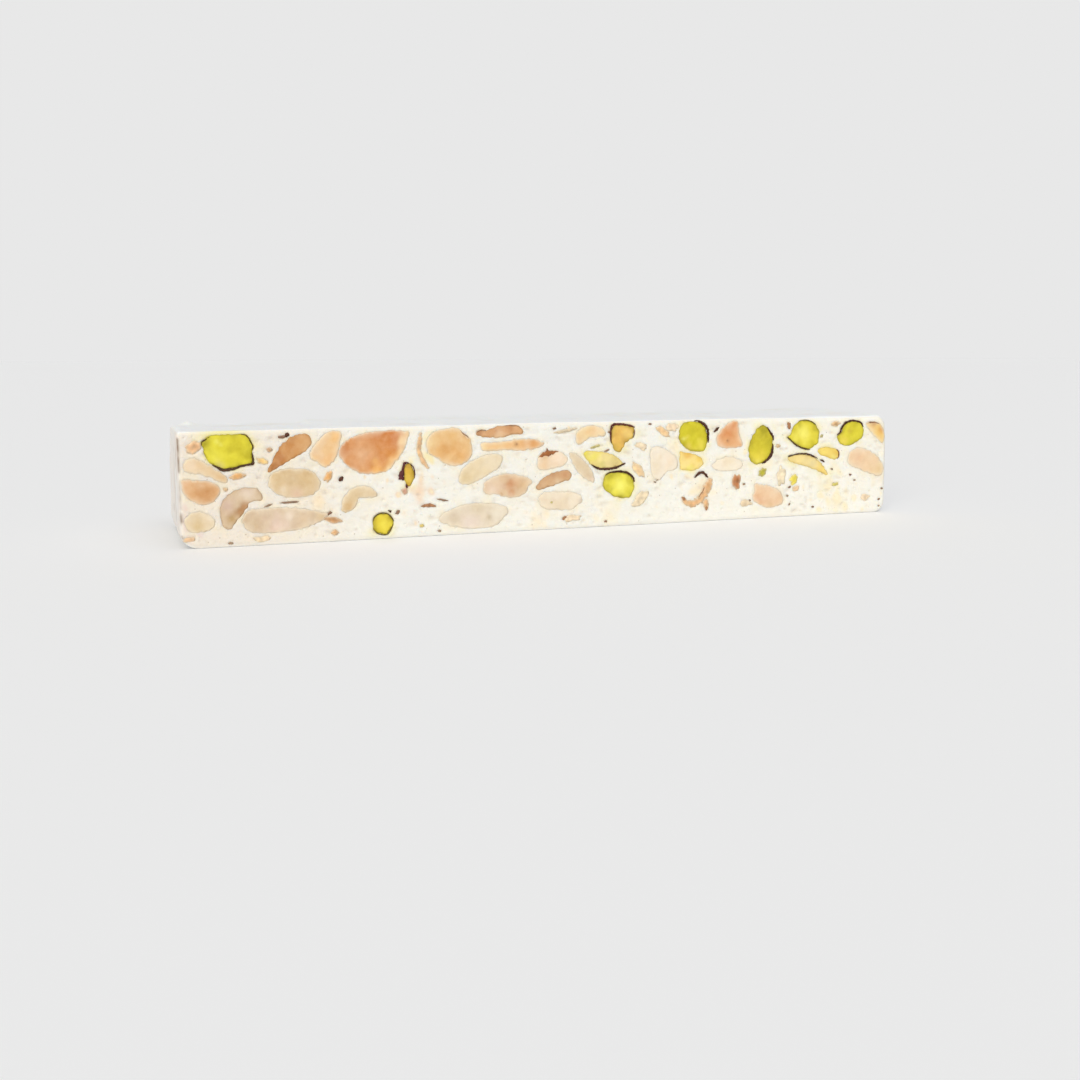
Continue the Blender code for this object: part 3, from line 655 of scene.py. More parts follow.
# %% [markdown]
# ## Chips, shreds and specks
#
# Between the whole nuts lie the broken ones: chips of almond, a few crumbs of pistachio, and
# scraps of brown skin that came off in the mixing. Each chip is a centre, a length, a width and
# a turn. They are real lumps of their true size, so each kind is one mesh with all its lumps.

# %% Chips and shreds on the front
# along, up, long, wide, turn in degrees, colour; all in millimetres
ALMOND_CHIPS = [
    (-101, 26, 4.0, 2.8, 20, "#E6B789"), (-67.3, 17.3, 3.0, 2.0, 60, "#E0A45C"),
    (-84, 22, 3.0, 1.5, -15, "#EFC67C"), (-82.2, 24.9, 1.5, 1.2, 0, "#C07F43"),
    (-90.5, 18.3, 4.0, 1.5, 10, "#E2A862"), (-93.5, 15, 1.2, 0.9, 0, "#CDA06C"),
    (-66.5, 5.9, 5.0, 1.6, -12, "#C58F5A"), (-66, 2.4, 2.0, 1.4, 0, "#CE9C68"),
    (-103, 2.5, 3.2, 1.3, 5, "#E9BE96"), (-84.8, 1.8, 4.5, 1.4, 4, "#EFD6B4"),
    (-46.9, 12.6, 1.8, 1.8, 70, "#C69078"), (1, 3, 5.5, 1.8, 4, "#F0D9BC"),
    (-0.8, 27.6, 6.0, 0.9, 10, "#D9C4A4"), (21.3, 16, 5.4, 2.4, -50, "#F0CFA0"),
    (22, 22.8, 4.0, 2.0, -20, "#F4DFC0"), (22, 7.5, 5.5, 3.0, 45, "#E9D8BA"),
    (29, 26.6, 5.0, 1.9, -30, "#EFC896"), (31.8, 27.8, 3.8, 2.2, 0, "#F3DABC"),
    (53, 11.2, 4.6, 2.9, 95, "#B5713F"), (56.3, 4.8, 4.0, 2.0, 0, "#E4CFB0"),
    (68, 12.5, 5.8, 2.8, 88, "#F1E2C4"), (73, 8.5, 2.4, 1.6, 20, "#EFC9A0"),
    (86.3, 27.8, 2.9, 1.7, 0, "#D8AC78"), (97.5, 4.8, 3.0, 1.9, 0, "#F2D9BA"),
    (66.6, 21.6, 1.5, 1.0, 0, "#D0A468"),
]
PISTACHIO_CHIPS = [
    (61.5, 13.9, 3.0, 2.2, 30, "#A9A134"), (72.2, 11.3, 3.2, 2.7, 70, "#EAD858"),
    (86.8, 9.3, 2.5, 1.0, 10, "#CDC14C"), (-5.3, 7.6, 1.2, 0.7, 20, "#A79C3C"),
    (8, 23, 3.0, 0.7, 15, "#B0A648"), (-42.5, 3, 1.3, 0.9, 0, "#D3B552"),
    (81.5, 24.2, 1.2, 0.8, 40, "#8D8530"),
]
# along, up, width down the middle of the shred
ALMOND_SHREDS = [
    [(-42.3, 28.3, 0.6), (-42.6, 26, 1.1), (-42.8, 23.5, 1.1), (-42.2, 21.3, 1.2), (-41.2, 19.6, 1),
     (-40.2, 18.6, 0.4)],
    [(44.6, 12.6, 1.2), (44.0, 11, 2.1), (43, 9, 2.2), (41.6, 7, 2.1), (39, 5.4, 2.0),
     (36.8, 5.8, 1.6), (35.4, 7.3, 0.7)],
    [(42.6, 6.4, 1.4), (43.1, 5, 1.6), (43.2, 3.4, 0.8)],
]
BROWN_SHREDS = [
    [(35.2, 7.5, 0.3), (35.9, 6.9, 0.9), (36.6, 6.2, 0.3)],
    [(42.8, 4.8, 0.3), (43.2, 4.1, 0.8), (43.3, 3.2, 0.3)],
    [(40.6, 7.2, 0.2), (41.8, 8.6, 0.4), (42.6, 10.4, 0.2)],
    [(-42.6, 8.3, 0.3), (-40.5, 8.5, 1.0), (-38.4, 8.2, 0.3)],
    [(69.7, 28.6, 0.4), (70, 27.7, 1.3), (70.2, 26.5, 0.4)],
    [(-1.8, 2.6, 0.3), (-1.3, 3.1, 0.9), (-0.6, 3.4, 0.3)],
]
PISTACHIO_SHREDS = [
    [(39.2, 13.0, 0.2), (40.2, 13.9, 0.7), (41.5, 14.5, 0.8), (42.9, 13.6, 0.8), (43.6, 12.9, 0.3)],
    [(45.2, 26.2, 0.3), (46, 26.8, 0.8), (46.9, 27.5, 0.3)],
    [(-51.6, 7.6, 0.3), (-50.8, 7.2, 0.6)],
    [(-64.5, 16, 0.4), (-64, 16.5, 1.1), (-63.4, 17.1, 0.3)],
    [(-77.9, 28.0, 0.4), (-77.6, 28.6, 1.1), (-77.3, 29.1, 0.3)],
]
# along, up, long, wide, turn
SPECKS = [
    (-78.9, 28.1, 2, 0.8, 0), (-83, 10.4, 2, 0.5, 20), (-77.5, 11.0, 4.4, 0.5, 2),
    (-67.3, 7.6, 1.5, 0.7, 30), (-92.8, 1, 1.2, 0.7, 0), (-36.5, 9.8, 3, 0.5, -10),
    (-49, 7, 1.5, 0.9, 40), (-37.5, 1.3, 1, 0.6, 0), (-4.2, 28.3, 1, 0.6, 0),
    (11.3, 1.5, 0.9, 0.6, 0), (11.5, 21.8, 1.8, 0.5, 20), (12.2, 27, 0.9, 0.6, 0),
    (24.8, 29, 1.1, 0.5, 0), (55.5, 10.5, 0.9, 0.6, 0), (57.5, 5.5, 0.7, 0.6, 0),
    (70.8, 9, 1.1, 0.6, 30), (70.2, 6.4, 0.8, 0.6, 0), (71, 3.8, 0.9, 0.5, 60),
    (92, 12, 0.8, 0.6, 0), (93.5, 10.3, 0.9, 0.5, 0), (103.4, 7.3, 0.8, 0.6, 0),
    (102.5, 4, 0.9, 0.6, 30), (102.6, 1.9, 0.7, 0.5, 0), (85.5, 14, 0.8, 0.5, 0),
    (79.2, 2.6, 0.8, 0.6, 0), (27.4, 12.9, 1.2, 0.4, 40), (26.6, 12.2, 0.8, 0.4, -20),
]
print(len(ALMOND_CHIPS) + len(PISTACHIO_CHIPS), "chips,", len(SPECKS), "specks on the front")

# %% [markdown]
# ## The back
#
# The back is a cut face too. Its large nuts come from the frame, so their outlines are ovals that
# fill their boxes, and the crumbs between them are thrown at random, but the same on every run.

# %% Helpers for the back
ALMOND_TONES = ["#E9D2AE", "#E6C79C", "#EBCFA8", "#DDB384", "#E8D9BC", "#D9A56C"]
PISTACHIO_TONES = ["#DCCF38", "#E9D95A", "#EFD878", "#D1C42E"]
BACK_GAP = 0.3  # millimetres of paste that a crumb keeps round it


def turned(places, angle):
    """The places turned anticlockwise about the origin, by an angle in radians."""
    return places @ np.array([[math.cos(angle), math.sin(angle)], [-math.sin(angle), math.cos(angle)]])


def oval(along, up, long_, wide, turn, seed, rag=0.10):
    """The outline of a lump with that length and width, rounded but never quite an ellipse."""
    angle = np.linspace(0, 2 * math.pi, 40, endpoint=False)
    ring = np.stack([np.cos(angle), np.sin(angle)], 1)
    ring *= (1 + rag * waves(ring, 1.1, seed, 8))[:, None]
    ring *= [long_ / 2, wide / 2]
    ring = turned(ring, math.radians(turn))
    return smooth_line(ring + [along, up], closed=True)[:: 1 if long_ > 3 else 2]


def back_section(node, seed):
    """An oval section that fills the node's box, with a toasted side and a paler side."""
    draw = np.random.default_rng(seed)
    corner_low, corner_high = box_of(node)
    half = (corner_high - corner_low)[[0, 2]] / 2
    # the squares of the half-axes of the tilted ellipse that this box holds
    tilt = draw.uniform(-0.3, 0.3)
    cos2, sin2 = math.cos(tilt) ** 2, math.sin(tilt) ** 2
    long2 = max((half[0] ** 2 * cos2 - half[1] ** 2 * sin2) / (cos2 - sin2), 1)
    wide2 = max((half[1] ** 2 * cos2 - half[0] ** 2 * sin2) / (cos2 - sin2), 1)
    shape = oval(0, 0, 1.9 * math.sqrt(long2), 1.9 * math.sqrt(wide2), math.degrees(tilt), seed, 0.05)
    kind, _ = kind_and_side(node)
    flesh, one, other = draw.permutation(ALMOND_TONES if kind == "almond" else PISTACHIO_TONES)[:3]
    blots = []
    for tone, reach in ((one, 2.2), (other, 1.8)):
        blots.append((str(tone), *(half * draw.uniform(-0.5, 0.5, 2)), reach))
    skins = []
    if kind == "pistachio":
        run = shape[: len(shape) // 2 : 4]
        widths = [0.6 - 0.45 * abs(2 * i / len(run) - 1) for i in range(len(run))]
        skins = [[(x * 1.04, z * 1.04, width) for (x, z), width in zip(run, widths)]]
    return Section(shape, str(flesh), blots, skins)


def scatter(count, seed, taken, sizes, tones):
    """Chips thrown at random on the back, clear of the outlines that are taken."""
    draw = np.random.default_rng(seed)
    chips = []
    while len(chips) < count:
        place = draw.uniform([low[0] + 5, 3], [high[0] - 5, HEIGHT - 3])
        long_ = draw.uniform(*sizes)
        if all(depth_in(shape, place[None])[0] < -BACK_GAP - long_ / 2 for shape in taken):
            taken = taken + [place + np.array([[-0.1, -0.1], [0.1, -0.1], [0, 0.1]])]
            wide, turn, tone = long_ * draw.uniform(0.4, 0.8), draw.uniform(-70, 70), draw.choice(tones)
            chips.append((*place, long_, wide, turn, str(tone)))
    return chips


# %% [markdown]
# ## All the outlines
#
# Now every large nut can have its outline in the bar's own millimetres, and its cut edge is
# made a little uneven. The crumbs of the back come last, because they keep clear of its nuts.

# %% Outlines of all the nuts, and crumbs of the back
EDGE_RAG, RAG_SIZE = 0.07, 1.6  # millimetres: how uneven a nut's cut edge is
BACK_SPECK_TONE = "#6B4028"

outlines, sections = {}, {}
for number, node in enumerate(NUTS):
    section = SECTIONS.get(node) or back_section(node, 300 + number)
    corner_low, corner_high = box_of(node)
    middle = ((corner_low + corner_high) / 2)[[0, 2]]
    shape = anticlockwise(smooth_line(np.array(section.outline) + middle, closed=True))
    outlines[node] = roughened(shape, EDGE_RAG, RAG_SIZE, 40 + number)
    sections[node] = section, middle
taken = [outlines[node] for node in nuts_on(BACK)]
back_almond_chips = scatter(64, 71, taken, (1.4, 6), ALMOND_TONES)
back_pistachio_chips = scatter(9, 72, taken, (1.2, 3), PISTACHIO_TONES)
back_specks = scatter(26, 73, taken, (0.6, 1.6), [BACK_SPECK_TONE])
print(len(outlines), "outlines,", len(back_almond_chips), "almond chips on the back")

# %% [markdown]
# ## Lumps in the cut face
#
# A lump on the cut face is a closed shell: a nearly flat cap level with the paste, whose rim
# dips under the paste's edge, and a rounded underside sunk in it. Triangulating the outline
# with inner points (a constrained Delaunay mesh) fills any shape with even triangles. The
# underside is the same mesh pushed back by a dome that grows with the distance from the rim.

# %% Shell of one lump
CUT_PLANE = {FRONT: low[1], BACK: high[1]}


@dataclass
class Shell:
    """Points in millimetres, triangles, and each point's distance from the rim."""

    points: np.ndarray
    faces: list
    depth: np.ndarray


ROW_SPACING = 0.87  # rows of even triangles are this share of a side apart
WHOLE, INSIDE_ONLY = 0, 1  # what the Delaunay mesh fills
WELD = 1e-5


def staggered(corner, far, step, jitter, draw):
    """Places for even triangles: rows of points a step apart, with each second row half a step
    along, and every place moved at random by up to jitter of a step."""
    along, up = np.arange(corner[0], far[0], step), np.arange(corner[1], far[1], step * ROW_SPACING)
    grid = np.stack(np.meshgrid(along, up), -1)
    grid[1::2, :, 0] += step / 2
    return grid.reshape(-1, 2) + draw.uniform(-jitter, jitter, (grid.size // 2, 2)) * step


def ring_of(start, count):
    """The edges of a closed outline whose points are numbered from start."""
    return [(start + i, start + (i + 1) % count) for i in range(count)]


def triangulated(places, edges, faces, filled):
    """Places and triangles of a Delaunay mesh that keeps the edges and faces given."""
    made = delaunay_2d_cdt([Vector(p) for p in places], edges, faces, filled, WELD)
    return np.array([tuple(v) for v in made[0]]), [tuple(f) for f in made[2]]


def fill(outline, step, seed):
    """Points and triangles that fill an outline evenly."""
    draw = np.random.default_rng(seed)
    grid = staggered(outline.min(0), outline.max(0), step, 0.12, draw)
    grid = grid[depth_in(outline, grid) > 0.45 * step] if len(grid) else grid
    places = np.vstack([outline, grid])
    count = len(outline)
    return triangulated(places, ring_of(0, count), [list(range(count))], INSIDE_ONLY)


def with_middles(outline, places, faces):
    """Adds a middle point to each triangle that has all its corners on the rim, so that a thin
    lump is a shell there too."""
    on_rim = np.abs(depth_in(outline, places)) < 1e-3
    points, kept = list(places), []
    for a, b, c in faces:
        if on_rim[a] and on_rim[b] and on_rim[c]:
            middle = len(points)
            points.append(places[[a, b, c]].mean(0))
            kept += [(a, b, middle), (b, c, middle), (c, a, middle)]
        else:
            kept.append((a, b, c))
    return np.array(points), kept


def shell_of(outline, side, thick, rim, proud, step=0.55, blend=0.4, seed=0):
    """A closed lump, thick from the face to its underside. Its rim lies rim below the face, and
    within blend of the rim its cap rises to stand proud of the face; all in millimetres."""
    places, faces = with_middles(outline, *fill(outline, step, seed))
    depth = np.abs(depth_in(outline, places))
    depth[depth < 1e-3] = 0
    plane = CUT_PLANE[side]
    reach = max(depth.max(), 0.2)
    rise = -rim + (rim + proud) * smooth_step(depth, 0, min(blend, reach))
    under = -rim - (thick - rim) * np.sqrt(1 - (1 - np.clip(depth / reach, 0, 1)) ** 2)
    # the cap and the underside share the rim's points, so the shell is closed
    inner = np.flatnonzero(depth > 0)
    under_of = np.arange(len(places))
    under_of[inner] = len(places) + np.arange(len(inner))
    cap = np.column_stack([places[:, 0], plane + side * rise, places[:, 1]])
    base = np.column_stack([places[inner, 0], plane + side * under[inner], places[inner, 1]])
    flipped = [tuple(under_of[list(f)][::-1]) for f in faces]
    kept = [f for f in flipped if any(i >= len(places) for i in f)]
    caps = [f for f, t in zip(faces, flipped) if any(i >= len(places) for i in t)]
    return Shell(np.vstack([cap, base]), caps + kept, np.concatenate([depth, depth[inner]]))


def joined(shells):
    """Several shells as one, and which shell each point came from."""
    points, faces, depth, whose, start = [], [], [], [], 0
    for number, shell in enumerate(shells):
        points.append(shell.points)
        depth.append(shell.depth)
        whose.append(np.full(len(shell.points), number))
        faces += [tuple(i + start for i in f) for f in shell.faces]
        start += len(shell.points)
    return Shell(np.vstack(points), faces, np.concatenate(depth)), np.concatenate(whose)


# %% [markdown]
# ## From points to a piece of the bar
#
# A piece is a mesh that rides on the bar. The whole bar also sagged and rippled a little as it
# was sliced, so every piece goes through the same small warp and nothing comes apart. The
# colours worked out for each point are kept with the mesh as an attribute named tone.

# %% Make a piece
# millimetres: how low the far left of the top is, the nub's height, the foot's spread at the left
SHORT_LEFT, NUB, SPREAD = 0.95, 1.1, 1.1
NUB_AT = -100  # the nub's place along the bar
SAG, SAG_SIZE = 0.13, 48
# where each change sets in and where it is complete: the foot and the short stretch by their
# distance to the left of the middle, how far back that stretch is low, and the height of the top
FOOT, SHORT, FAR, TOP = (92, 105), (66.5, 70), (-8, 20), (20, 29)


def settle(points):
    """The points as they lie once the bar has been sliced: the faces ripple, the top sags, and the
    foot of the left end spreads towards the back. The slab was a little short at the far left,
    where one nub of paste stands on the edge."""
    x, y, z = points.T
    face = points[:, [0, 2]]
    share = np.clip((y - low[1]) / DEPTH, 0, 1)
    y = y - knife_lift(face, FRONT) * (1 - share) + knife_lift(face, BACK) * share
    x = x - SPREAD * share * smooth_step(-x, *FOOT) * np.clip(1 - z / HEIGHT, 0, 1)
    z = z + SAG * waves(points[:, :2], SAG_SIZE, 3) * np.clip(z / HEIGHT, 0, 1)
    near_top = smooth_step(z, *TOP)
    z = z - SHORT_LEFT * smooth_step(-x, *SHORT) * smooth_step(y, *FAR) * near_top
    z = z + NUB * np.exp(-(((x - NUB_AT) / 1.6) ** 2) - ((y - high[1] + 1) / 1.3) ** 2) * near_top
    return np.stack([x, y, np.maximum(z, low[2])], 1)  # the bar rests flat on its base


def make_piece(name, shell, tones, material, extras=None):
    """A mesh on the bar, with a tone for each point and any other values as attributes."""
    mesh = bpy.data.meshes.new(name)
    mesh.from_pydata((settle(shell.points) * MM).tolist(), [], shell.faces)
    colour = mesh.attributes.new("tone", "FLOAT_COLOR", "POINT")
    colour.data.foreach_set("color", np.column_stack([np.clip(tones, 0, 1), np.ones(len(tones))]).ravel())
    for key, values in (extras or {}).items():
        mesh.attributes.new(key, "FLOAT", "POINT").data.foreach_set("value", np.asarray(values, float))
    bm = bmesh.new()
    bm.from_mesh(mesh)
    bmesh.ops.recalc_face_normals(bm, faces=bm.faces)
    bm.to_mesh(mesh)
    bm.free()
    mesh.shade_smooth()
    mesh.materials.append(material)
    piece = bpy.data.objects.new(name, mesh)
    bpy.context.scene.collection.objects.link(piece)
    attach(piece, "root")
    return piece


def painted(places, flesh, blots, seed):
    """The flesh colour with soft-edged blots of other tones, each a little out of round."""
    tones = plain(flesh, len(places))
    wander = 1 + 0.22 * waves(places, 3.2, seed)
    for colour, along, up, reach in blots:
        away = np.hypot(places[:, 0] - along, places[:, 1] - up) * wander / reach
        tint(tones, colour, 0.9 * np.exp(-(away**2)))
    return tones


# %% [markdown]
# ## Almond flesh
#
# Cut almond is dense, dry and slightly fibrous. It scatters light under its surface, so it needs
# a little subsurface light; it is duller than the paste, and cutting leaves a fine grain and
# short smears along the stroke. The tone attribute gives its large colour changes, and two
# noises of real sizes give the grain.

# %% Almond and pistachio materials
def speckled(material, light, dark, size, reach):
    """The tone attribute, varied between a lighter and a darker version by noise of that size."""
    tone = add(material, "Attribute", attribute_name="tone")
    spot = add(material, "TexCoord")
    broad = add(material, "TexNoise", {
        "Vector": spot.outputs["Object"], "Scale": per_metre(size), "Detail": 5, "Roughness": 0.62})
    bent = add(material, "MapRange", {
        "Value": broad.outputs[0], "From Min": 0.32, "From Max": 0.68, "To Min": 0.0, "To Max": 1.0})
    paler = add(material, "MixRGB", {
        "Fac": reach, "Color1": tone.outputs["Color"], "Color2": linear(light)})
    deeper = add(material, "MixRGB", {
        "Fac": reach, "Color1": tone.outputs["Color"], "Color2": linear(dark)}, blend_type="MULTIPLY")
    colour = add(material, "MixRGB", {
        "Fac": bent.outputs[0], "Color1": deeper.outputs[0], "Color2": paler.outputs[0]})
    return colour, spot


def flesh_material(name, light, dark, size, reach, roughness, subsurface, grain, height):
    """Nut flesh: speckled colour, light under the surface and a fine cut grain."""
    material = new_material(name)
    colour, spot = speckled(material, light, dark, size, reach)
    fine = add(material, "TexNoise", {
        "Vector": spot.outputs["Object"], "Scale": per_metre(grain), "Detail": 4, "Roughness": 0.6})
    bump = add(material, "Bump", {"Strength": 1.0, "Distance": height * MM, "Height": fine.outputs[0]})
    shader = add(material, "BsdfPrincipled", {
        "Base Color": colour.outputs[0], "Roughness": roughness, "IOR": 1.46, "Specular IOR Level": 0.25,
        "Subsurface Weight": subsurface, "Subsurface Radius": (1, 0.85, 0.6), "Subsurface Scale": 0.9 * MM,
        "Normal": bump.outputs[0]})
    add(material, "OutputMaterial", {"Surface": shader.outputs[0]})
    return material


# sizes and heights in millimetres: size of the speckles, size of the grain, height of the grain
cut_almond = flesh_material(
    "cut_almond_flesh", "#F6E4C8", "#D9B88C", size=2.2, reach=0.13,
    roughness=0.55, subsurface=0.2, grain=0.5, height=0.035)
cut_pistachio = flesh_material(
    "cut_pistachio_flesh", "#F6EC5A", "#C9BC3A", size=1.8, reach=0.16,
    roughness=0.5, subsurface=0.12, grain=0.5, height=0.04)
nut_skin = flesh_material(
    "papery_nut_skin", "#8A5A40", "#4A2C20", size=0.7, reach=0.32,
    roughness=0.5, subsurface=0.0, grain=0.3, height=0.06)
print("flesh and skin materials made")

# %% [markdown]
# ## The large nuts
#
# Each nut of the frame gets one shell that stands for it, as deep as its solid. The paste clings
# to the almonds, so their rims fade to cream, but a few toasted ones keep a brown rim, and the
# pistachios have a greener one. An almond cut through the gap between its two halves shows a
# hollow, and the hollow is painted darker as its shade.

# %% Build the nuts
# colour of the rim, how wide it is in millimetres, and its share
RIM_TONES = {"almond": ("#A87848", 0.35, 0.3), "pistachio": ("#857A1C", 0.45, 0.62)}
SOFT_RIM = ("#F5E9D4", 0.45, 0.7)
TOASTED = {"04", "06", "14", "17"}  # the almonds that keep a brown rim
PALE_BLUE, PALE_RIM = 0.14, ("#D9B85C", 0.4)  # a pale pistachio has more blue and a yellow rim
SEATS = {"almond": (0.02, 0.03), "pistachio": (0.16, 0.06)}  # how low the rim sits, how proud the flesh
# the hollow's tone is painted shade, laid on as strongly as the hollow is deep
HOLLOW_SHADE_TONE, HOLLOW_TURN = "#A8743E", np.array([[0.77, -0.64], [0.64, 0.77]])
CAP_REACH = 0.5  # points this near the cut plane belong to the cap


def rim_of(node, kind, flesh):
    """The colour, width and share of a nut's rim."""
    if kind == "almond" and node[-2:] not in TOASTED:
        return SOFT_RIM
    tone, width, share = RIM_TONES[kind]
    if kind == "pistachio" and linear(flesh)[2] > PALE_BLUE:
        tone, share = PALE_RIM
    return tone, width, share


def dimple(places, along, up, long_):
    """The shape of a hollow, 1 at its middle: a slanted oval with soft sides."""
    away = (places - [along, up]) @ HOLLOW_TURN
    return np.exp(-((away[:, 0] / (long_ * 1.1)) ** 2) - (away[:, 1] / (long_ * 0.42)) ** 2)


def build_nut(node, number):
    """The shell of one large nut, painted, with its cap a little uneven."""
    kind, side = kind_and_side(node)
    section, middle = sections[node]
    corner_low, corner_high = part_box(node)
    thick = (corner_high[1] - corner_low[1]) / MM
    rim, proud = SEATS[kind]
    shell = shell_of(outlines[node], side, thick, rim, proud, seed=number)
    places = shell.points[:, [0, 2]] - middle
    tones = painted(places, section.flesh, section.blots, 500 + number)
    rim_tone, width, share = rim_of(node, kind, section.flesh)
    uneven = width * (1 + 0.5 * waves(places, 4, 900 + number))
    tint(tones, rim_tone, np.clip(share * np.exp(-shell.depth / uneven.clip(0.1)), 0, 1))
    lift = 0.05 * waves(places, 2.6, 700 + number) * smooth_step(shell.depth, 0.2, 0.8)
    if section.hollow:
        *where, deep = section.hollow
        pit = dimple(places, *where)
        lift -= deep * pit
        # painted shade in the hollow, stronger where it is deeper
        tint(tones, HOLLOW_SHADE_TONE, 0.55 * pit)
    cap = np.abs(shell.points[:, 1] - CUT_PLANE[side]) < CAP_REACH
    shell.points[cap, 1] += side * lift[cap]
    piece = make_piece(node + "_cut", shell, tones, cut_almond if kind == "almond" else cut_pistachio)
    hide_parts(node)


for number, node in enumerate(NUTS):
    build_nut(node, number)
print(len(NUTS), "nuts built")

# %% [markdown]
# ## Outlines of the small pieces
#
# A small piece needs only outlines. Those of the chips and specks come from ovals, and those of
# the skins and shreds from strips. A nut's own skin lies where that nut lies.

# %% Items of the small pieces
SPECK_TONES = ["#8E6248", "#B4967C", "#A07C62"]
DARK_SKIN, BROWN_SHRED, PALE_SHRED = "#4A2A20", "#BC8458", "#DDAE7C"
SKIN_HUG = 0.955  # skins are drawn a little wide, and this brings them against the flesh
CHIP_RAG = 0.12


def chip_items(chips, side, seed):
    """Chips as items of a small piece: an outline, a side and a colour."""
    items = []
    for number, (along, up, long_, wide, turn, tone) in enumerate(chips):
        outline = oval(along, up, long_, wide, turn, seed + number, CHIP_RAG)
        items.append((anticlockwise(outline), side, tone))
    return items


def strip_items(strips, tone, seed):
    """Shreds on the front, all of one colour, as items of a small piece."""
    return [(strip_outline(strip, seed + number), FRONT, tone) for number, strip in enumerate(strips)]


skin_items = {"almond": [], "pistachio": []}
for number, node in enumerate(NUTS):
    section, middle = sections[node]
    kind, side = kind_and_side(node)
    for turn, strip in enumerate(section.skins):
        line = [(x * SKIN_HUG + middle[0], z * SKIN_HUG + middle[1], w) for x, z, w in strip]
        outline = strip_outline(line, 60 + 7 * number + turn)
        skin_items[kind].append((outline, side, section.skin))
skin_items["almond"] += strip_items(BROWN_SHREDS, BROWN_SHRED, 800)
skin_items["pistachio"] += strip_items(PISTACHIO_SHREDS, DARK_SKIN, 850)
specks = [(*speck, SPECK_TONES[i % len(SPECK_TONES)]) for i, speck in enumerate(SPECKS)]
speck_items = chip_items(specks, FRONT, 1000) + chip_items(back_specks, BACK, 1100)
almond_items = chip_items(ALMOND_CHIPS, FRONT, 1200) + chip_items(back_almond_chips, BACK, 1300)
almond_items += strip_items(ALMOND_SHREDS, PALE_SHRED, 870)
pistachio_items = chip_items(PISTACHIO_CHIPS, FRONT, 1400)
pistachio_items += chip_items(back_pistachio_chips, BACK, 1500)
print(len(almond_items), "almond and", len(pistachio_items), "pistachio lumps,", len(speck_items), "specks")

# %% [markdown]
# ## Skins, chips and specks
#
# A shred of skin stands a hair proud of the face, because the knife drags it. Chips are shallow
# lumps, level with the paste, which smears over their edges. All the shreds of one kind are one
# mesh, and so are all the chips.

# %% Build the small pieces
CHIP_RIM, SMEAR_WIDTH = "#F3E4CA", 0.22
small_outlines = {FRONT: [], BACK: []}


def small_piece(name, items, material, thick, proud=0.04, rim=0.03, smeared=0.5):
    """One mesh of many small lumps. Each item is an outline, a side and a colour."""
    shells, colours = [], []
    for number, (outline, side, colour) in enumerate(items):
        small_outlines[side].append(outline)
        shells.append(shell_of(outline, side, thick, rim, proud, step=0.5, blend=0.3, seed=number))
        colours.append(linear(colour)[:3])
    shell, whose = joined(shells)
    tones = np.array(colours)[whose]
    tones *= (1 + 0.13 * waves(shell.points[:, [0, 2]], 1.7, 77))[:, None]
    tint(tones, CHIP_RIM, smeared * np.exp(-shell.depth / SMEAR_WIDTH))
    make_piece(name, shell, tones, material)


small_piece("almond_skins", skin_items["almond"], nut_skin, 0.6, proud=0.12, rim=0.0, smeared=0.12)
small_piece("pistachio_skins", skin_items["pistachio"], nut_skin, 0.6, proud=0.14, rim=0.0, smeared=0.0)
small_piece("skin_specks", speck_items, nut_skin, 0.5, proud=0.06, rim=0.04, smeared=0.25)
small_piece("almond_chips", almond_items, cut_almond, 1.2, smeared=0.6)
small_piece("pistachio_chips", pistachio_items, cut_pistachio, 1.0)
print("skins, chips and specks built")

# %% [markdown]
# ## Shape of the nougat
#
# The frame that the slab was pressed in gave the bar's corners a small radius along its length,
# and the knife left the cut faces with a thin, sharper edge. A square corner turns into a round
# one by a small map: a point in the corner's square moves along the line to the square's inner
# corner until the square's rim becomes a quarter circle.

# %% Rounded box
CORNERS = {(0, 1): 1.2, (0, 0): 4.2, (1, 1): 3.4, (1, 0): 3.0}  # (right, top): radius
# the radius that the knife left along a face, at its left and right ends, and what is added to it
# along the right of the top
KNIFE_EDGE, LEFT_EDGE, RIGHT_EDGE, SOFT_TOP = 0.45, 1.0, 1.7, 1.05


def disc(a, b):
    """Moves a point of the unit square to the quarter disc, and points outside 0 to 1 not at all."""
    both = (a > 0) & (b > 0)
    scale = np.where(both, np.maximum(a, b) / np.maximum(np.hypot(a, b), 1e-9), 1)
    return a * scale, b * scale


def knife_radius(x, z):
    """The radius of the knife's edge at a place, measured from the bar's lower left corner."""
    knife = KNIFE_EDGE + (LEFT_EDGE - KNIFE_EDGE) * smooth_step(-x, -3.5, -1)
    knife = knife + (RIGHT_EDGE - KNIFE_EDGE) * smooth_step(x, LENGTH - 4, LENGTH - 1)
    return knife + SOFT_TOP * smooth_step(x, 0.72 * LENGTH, 0.93 * LENGTH) * smooth_step(z, 22, 26)


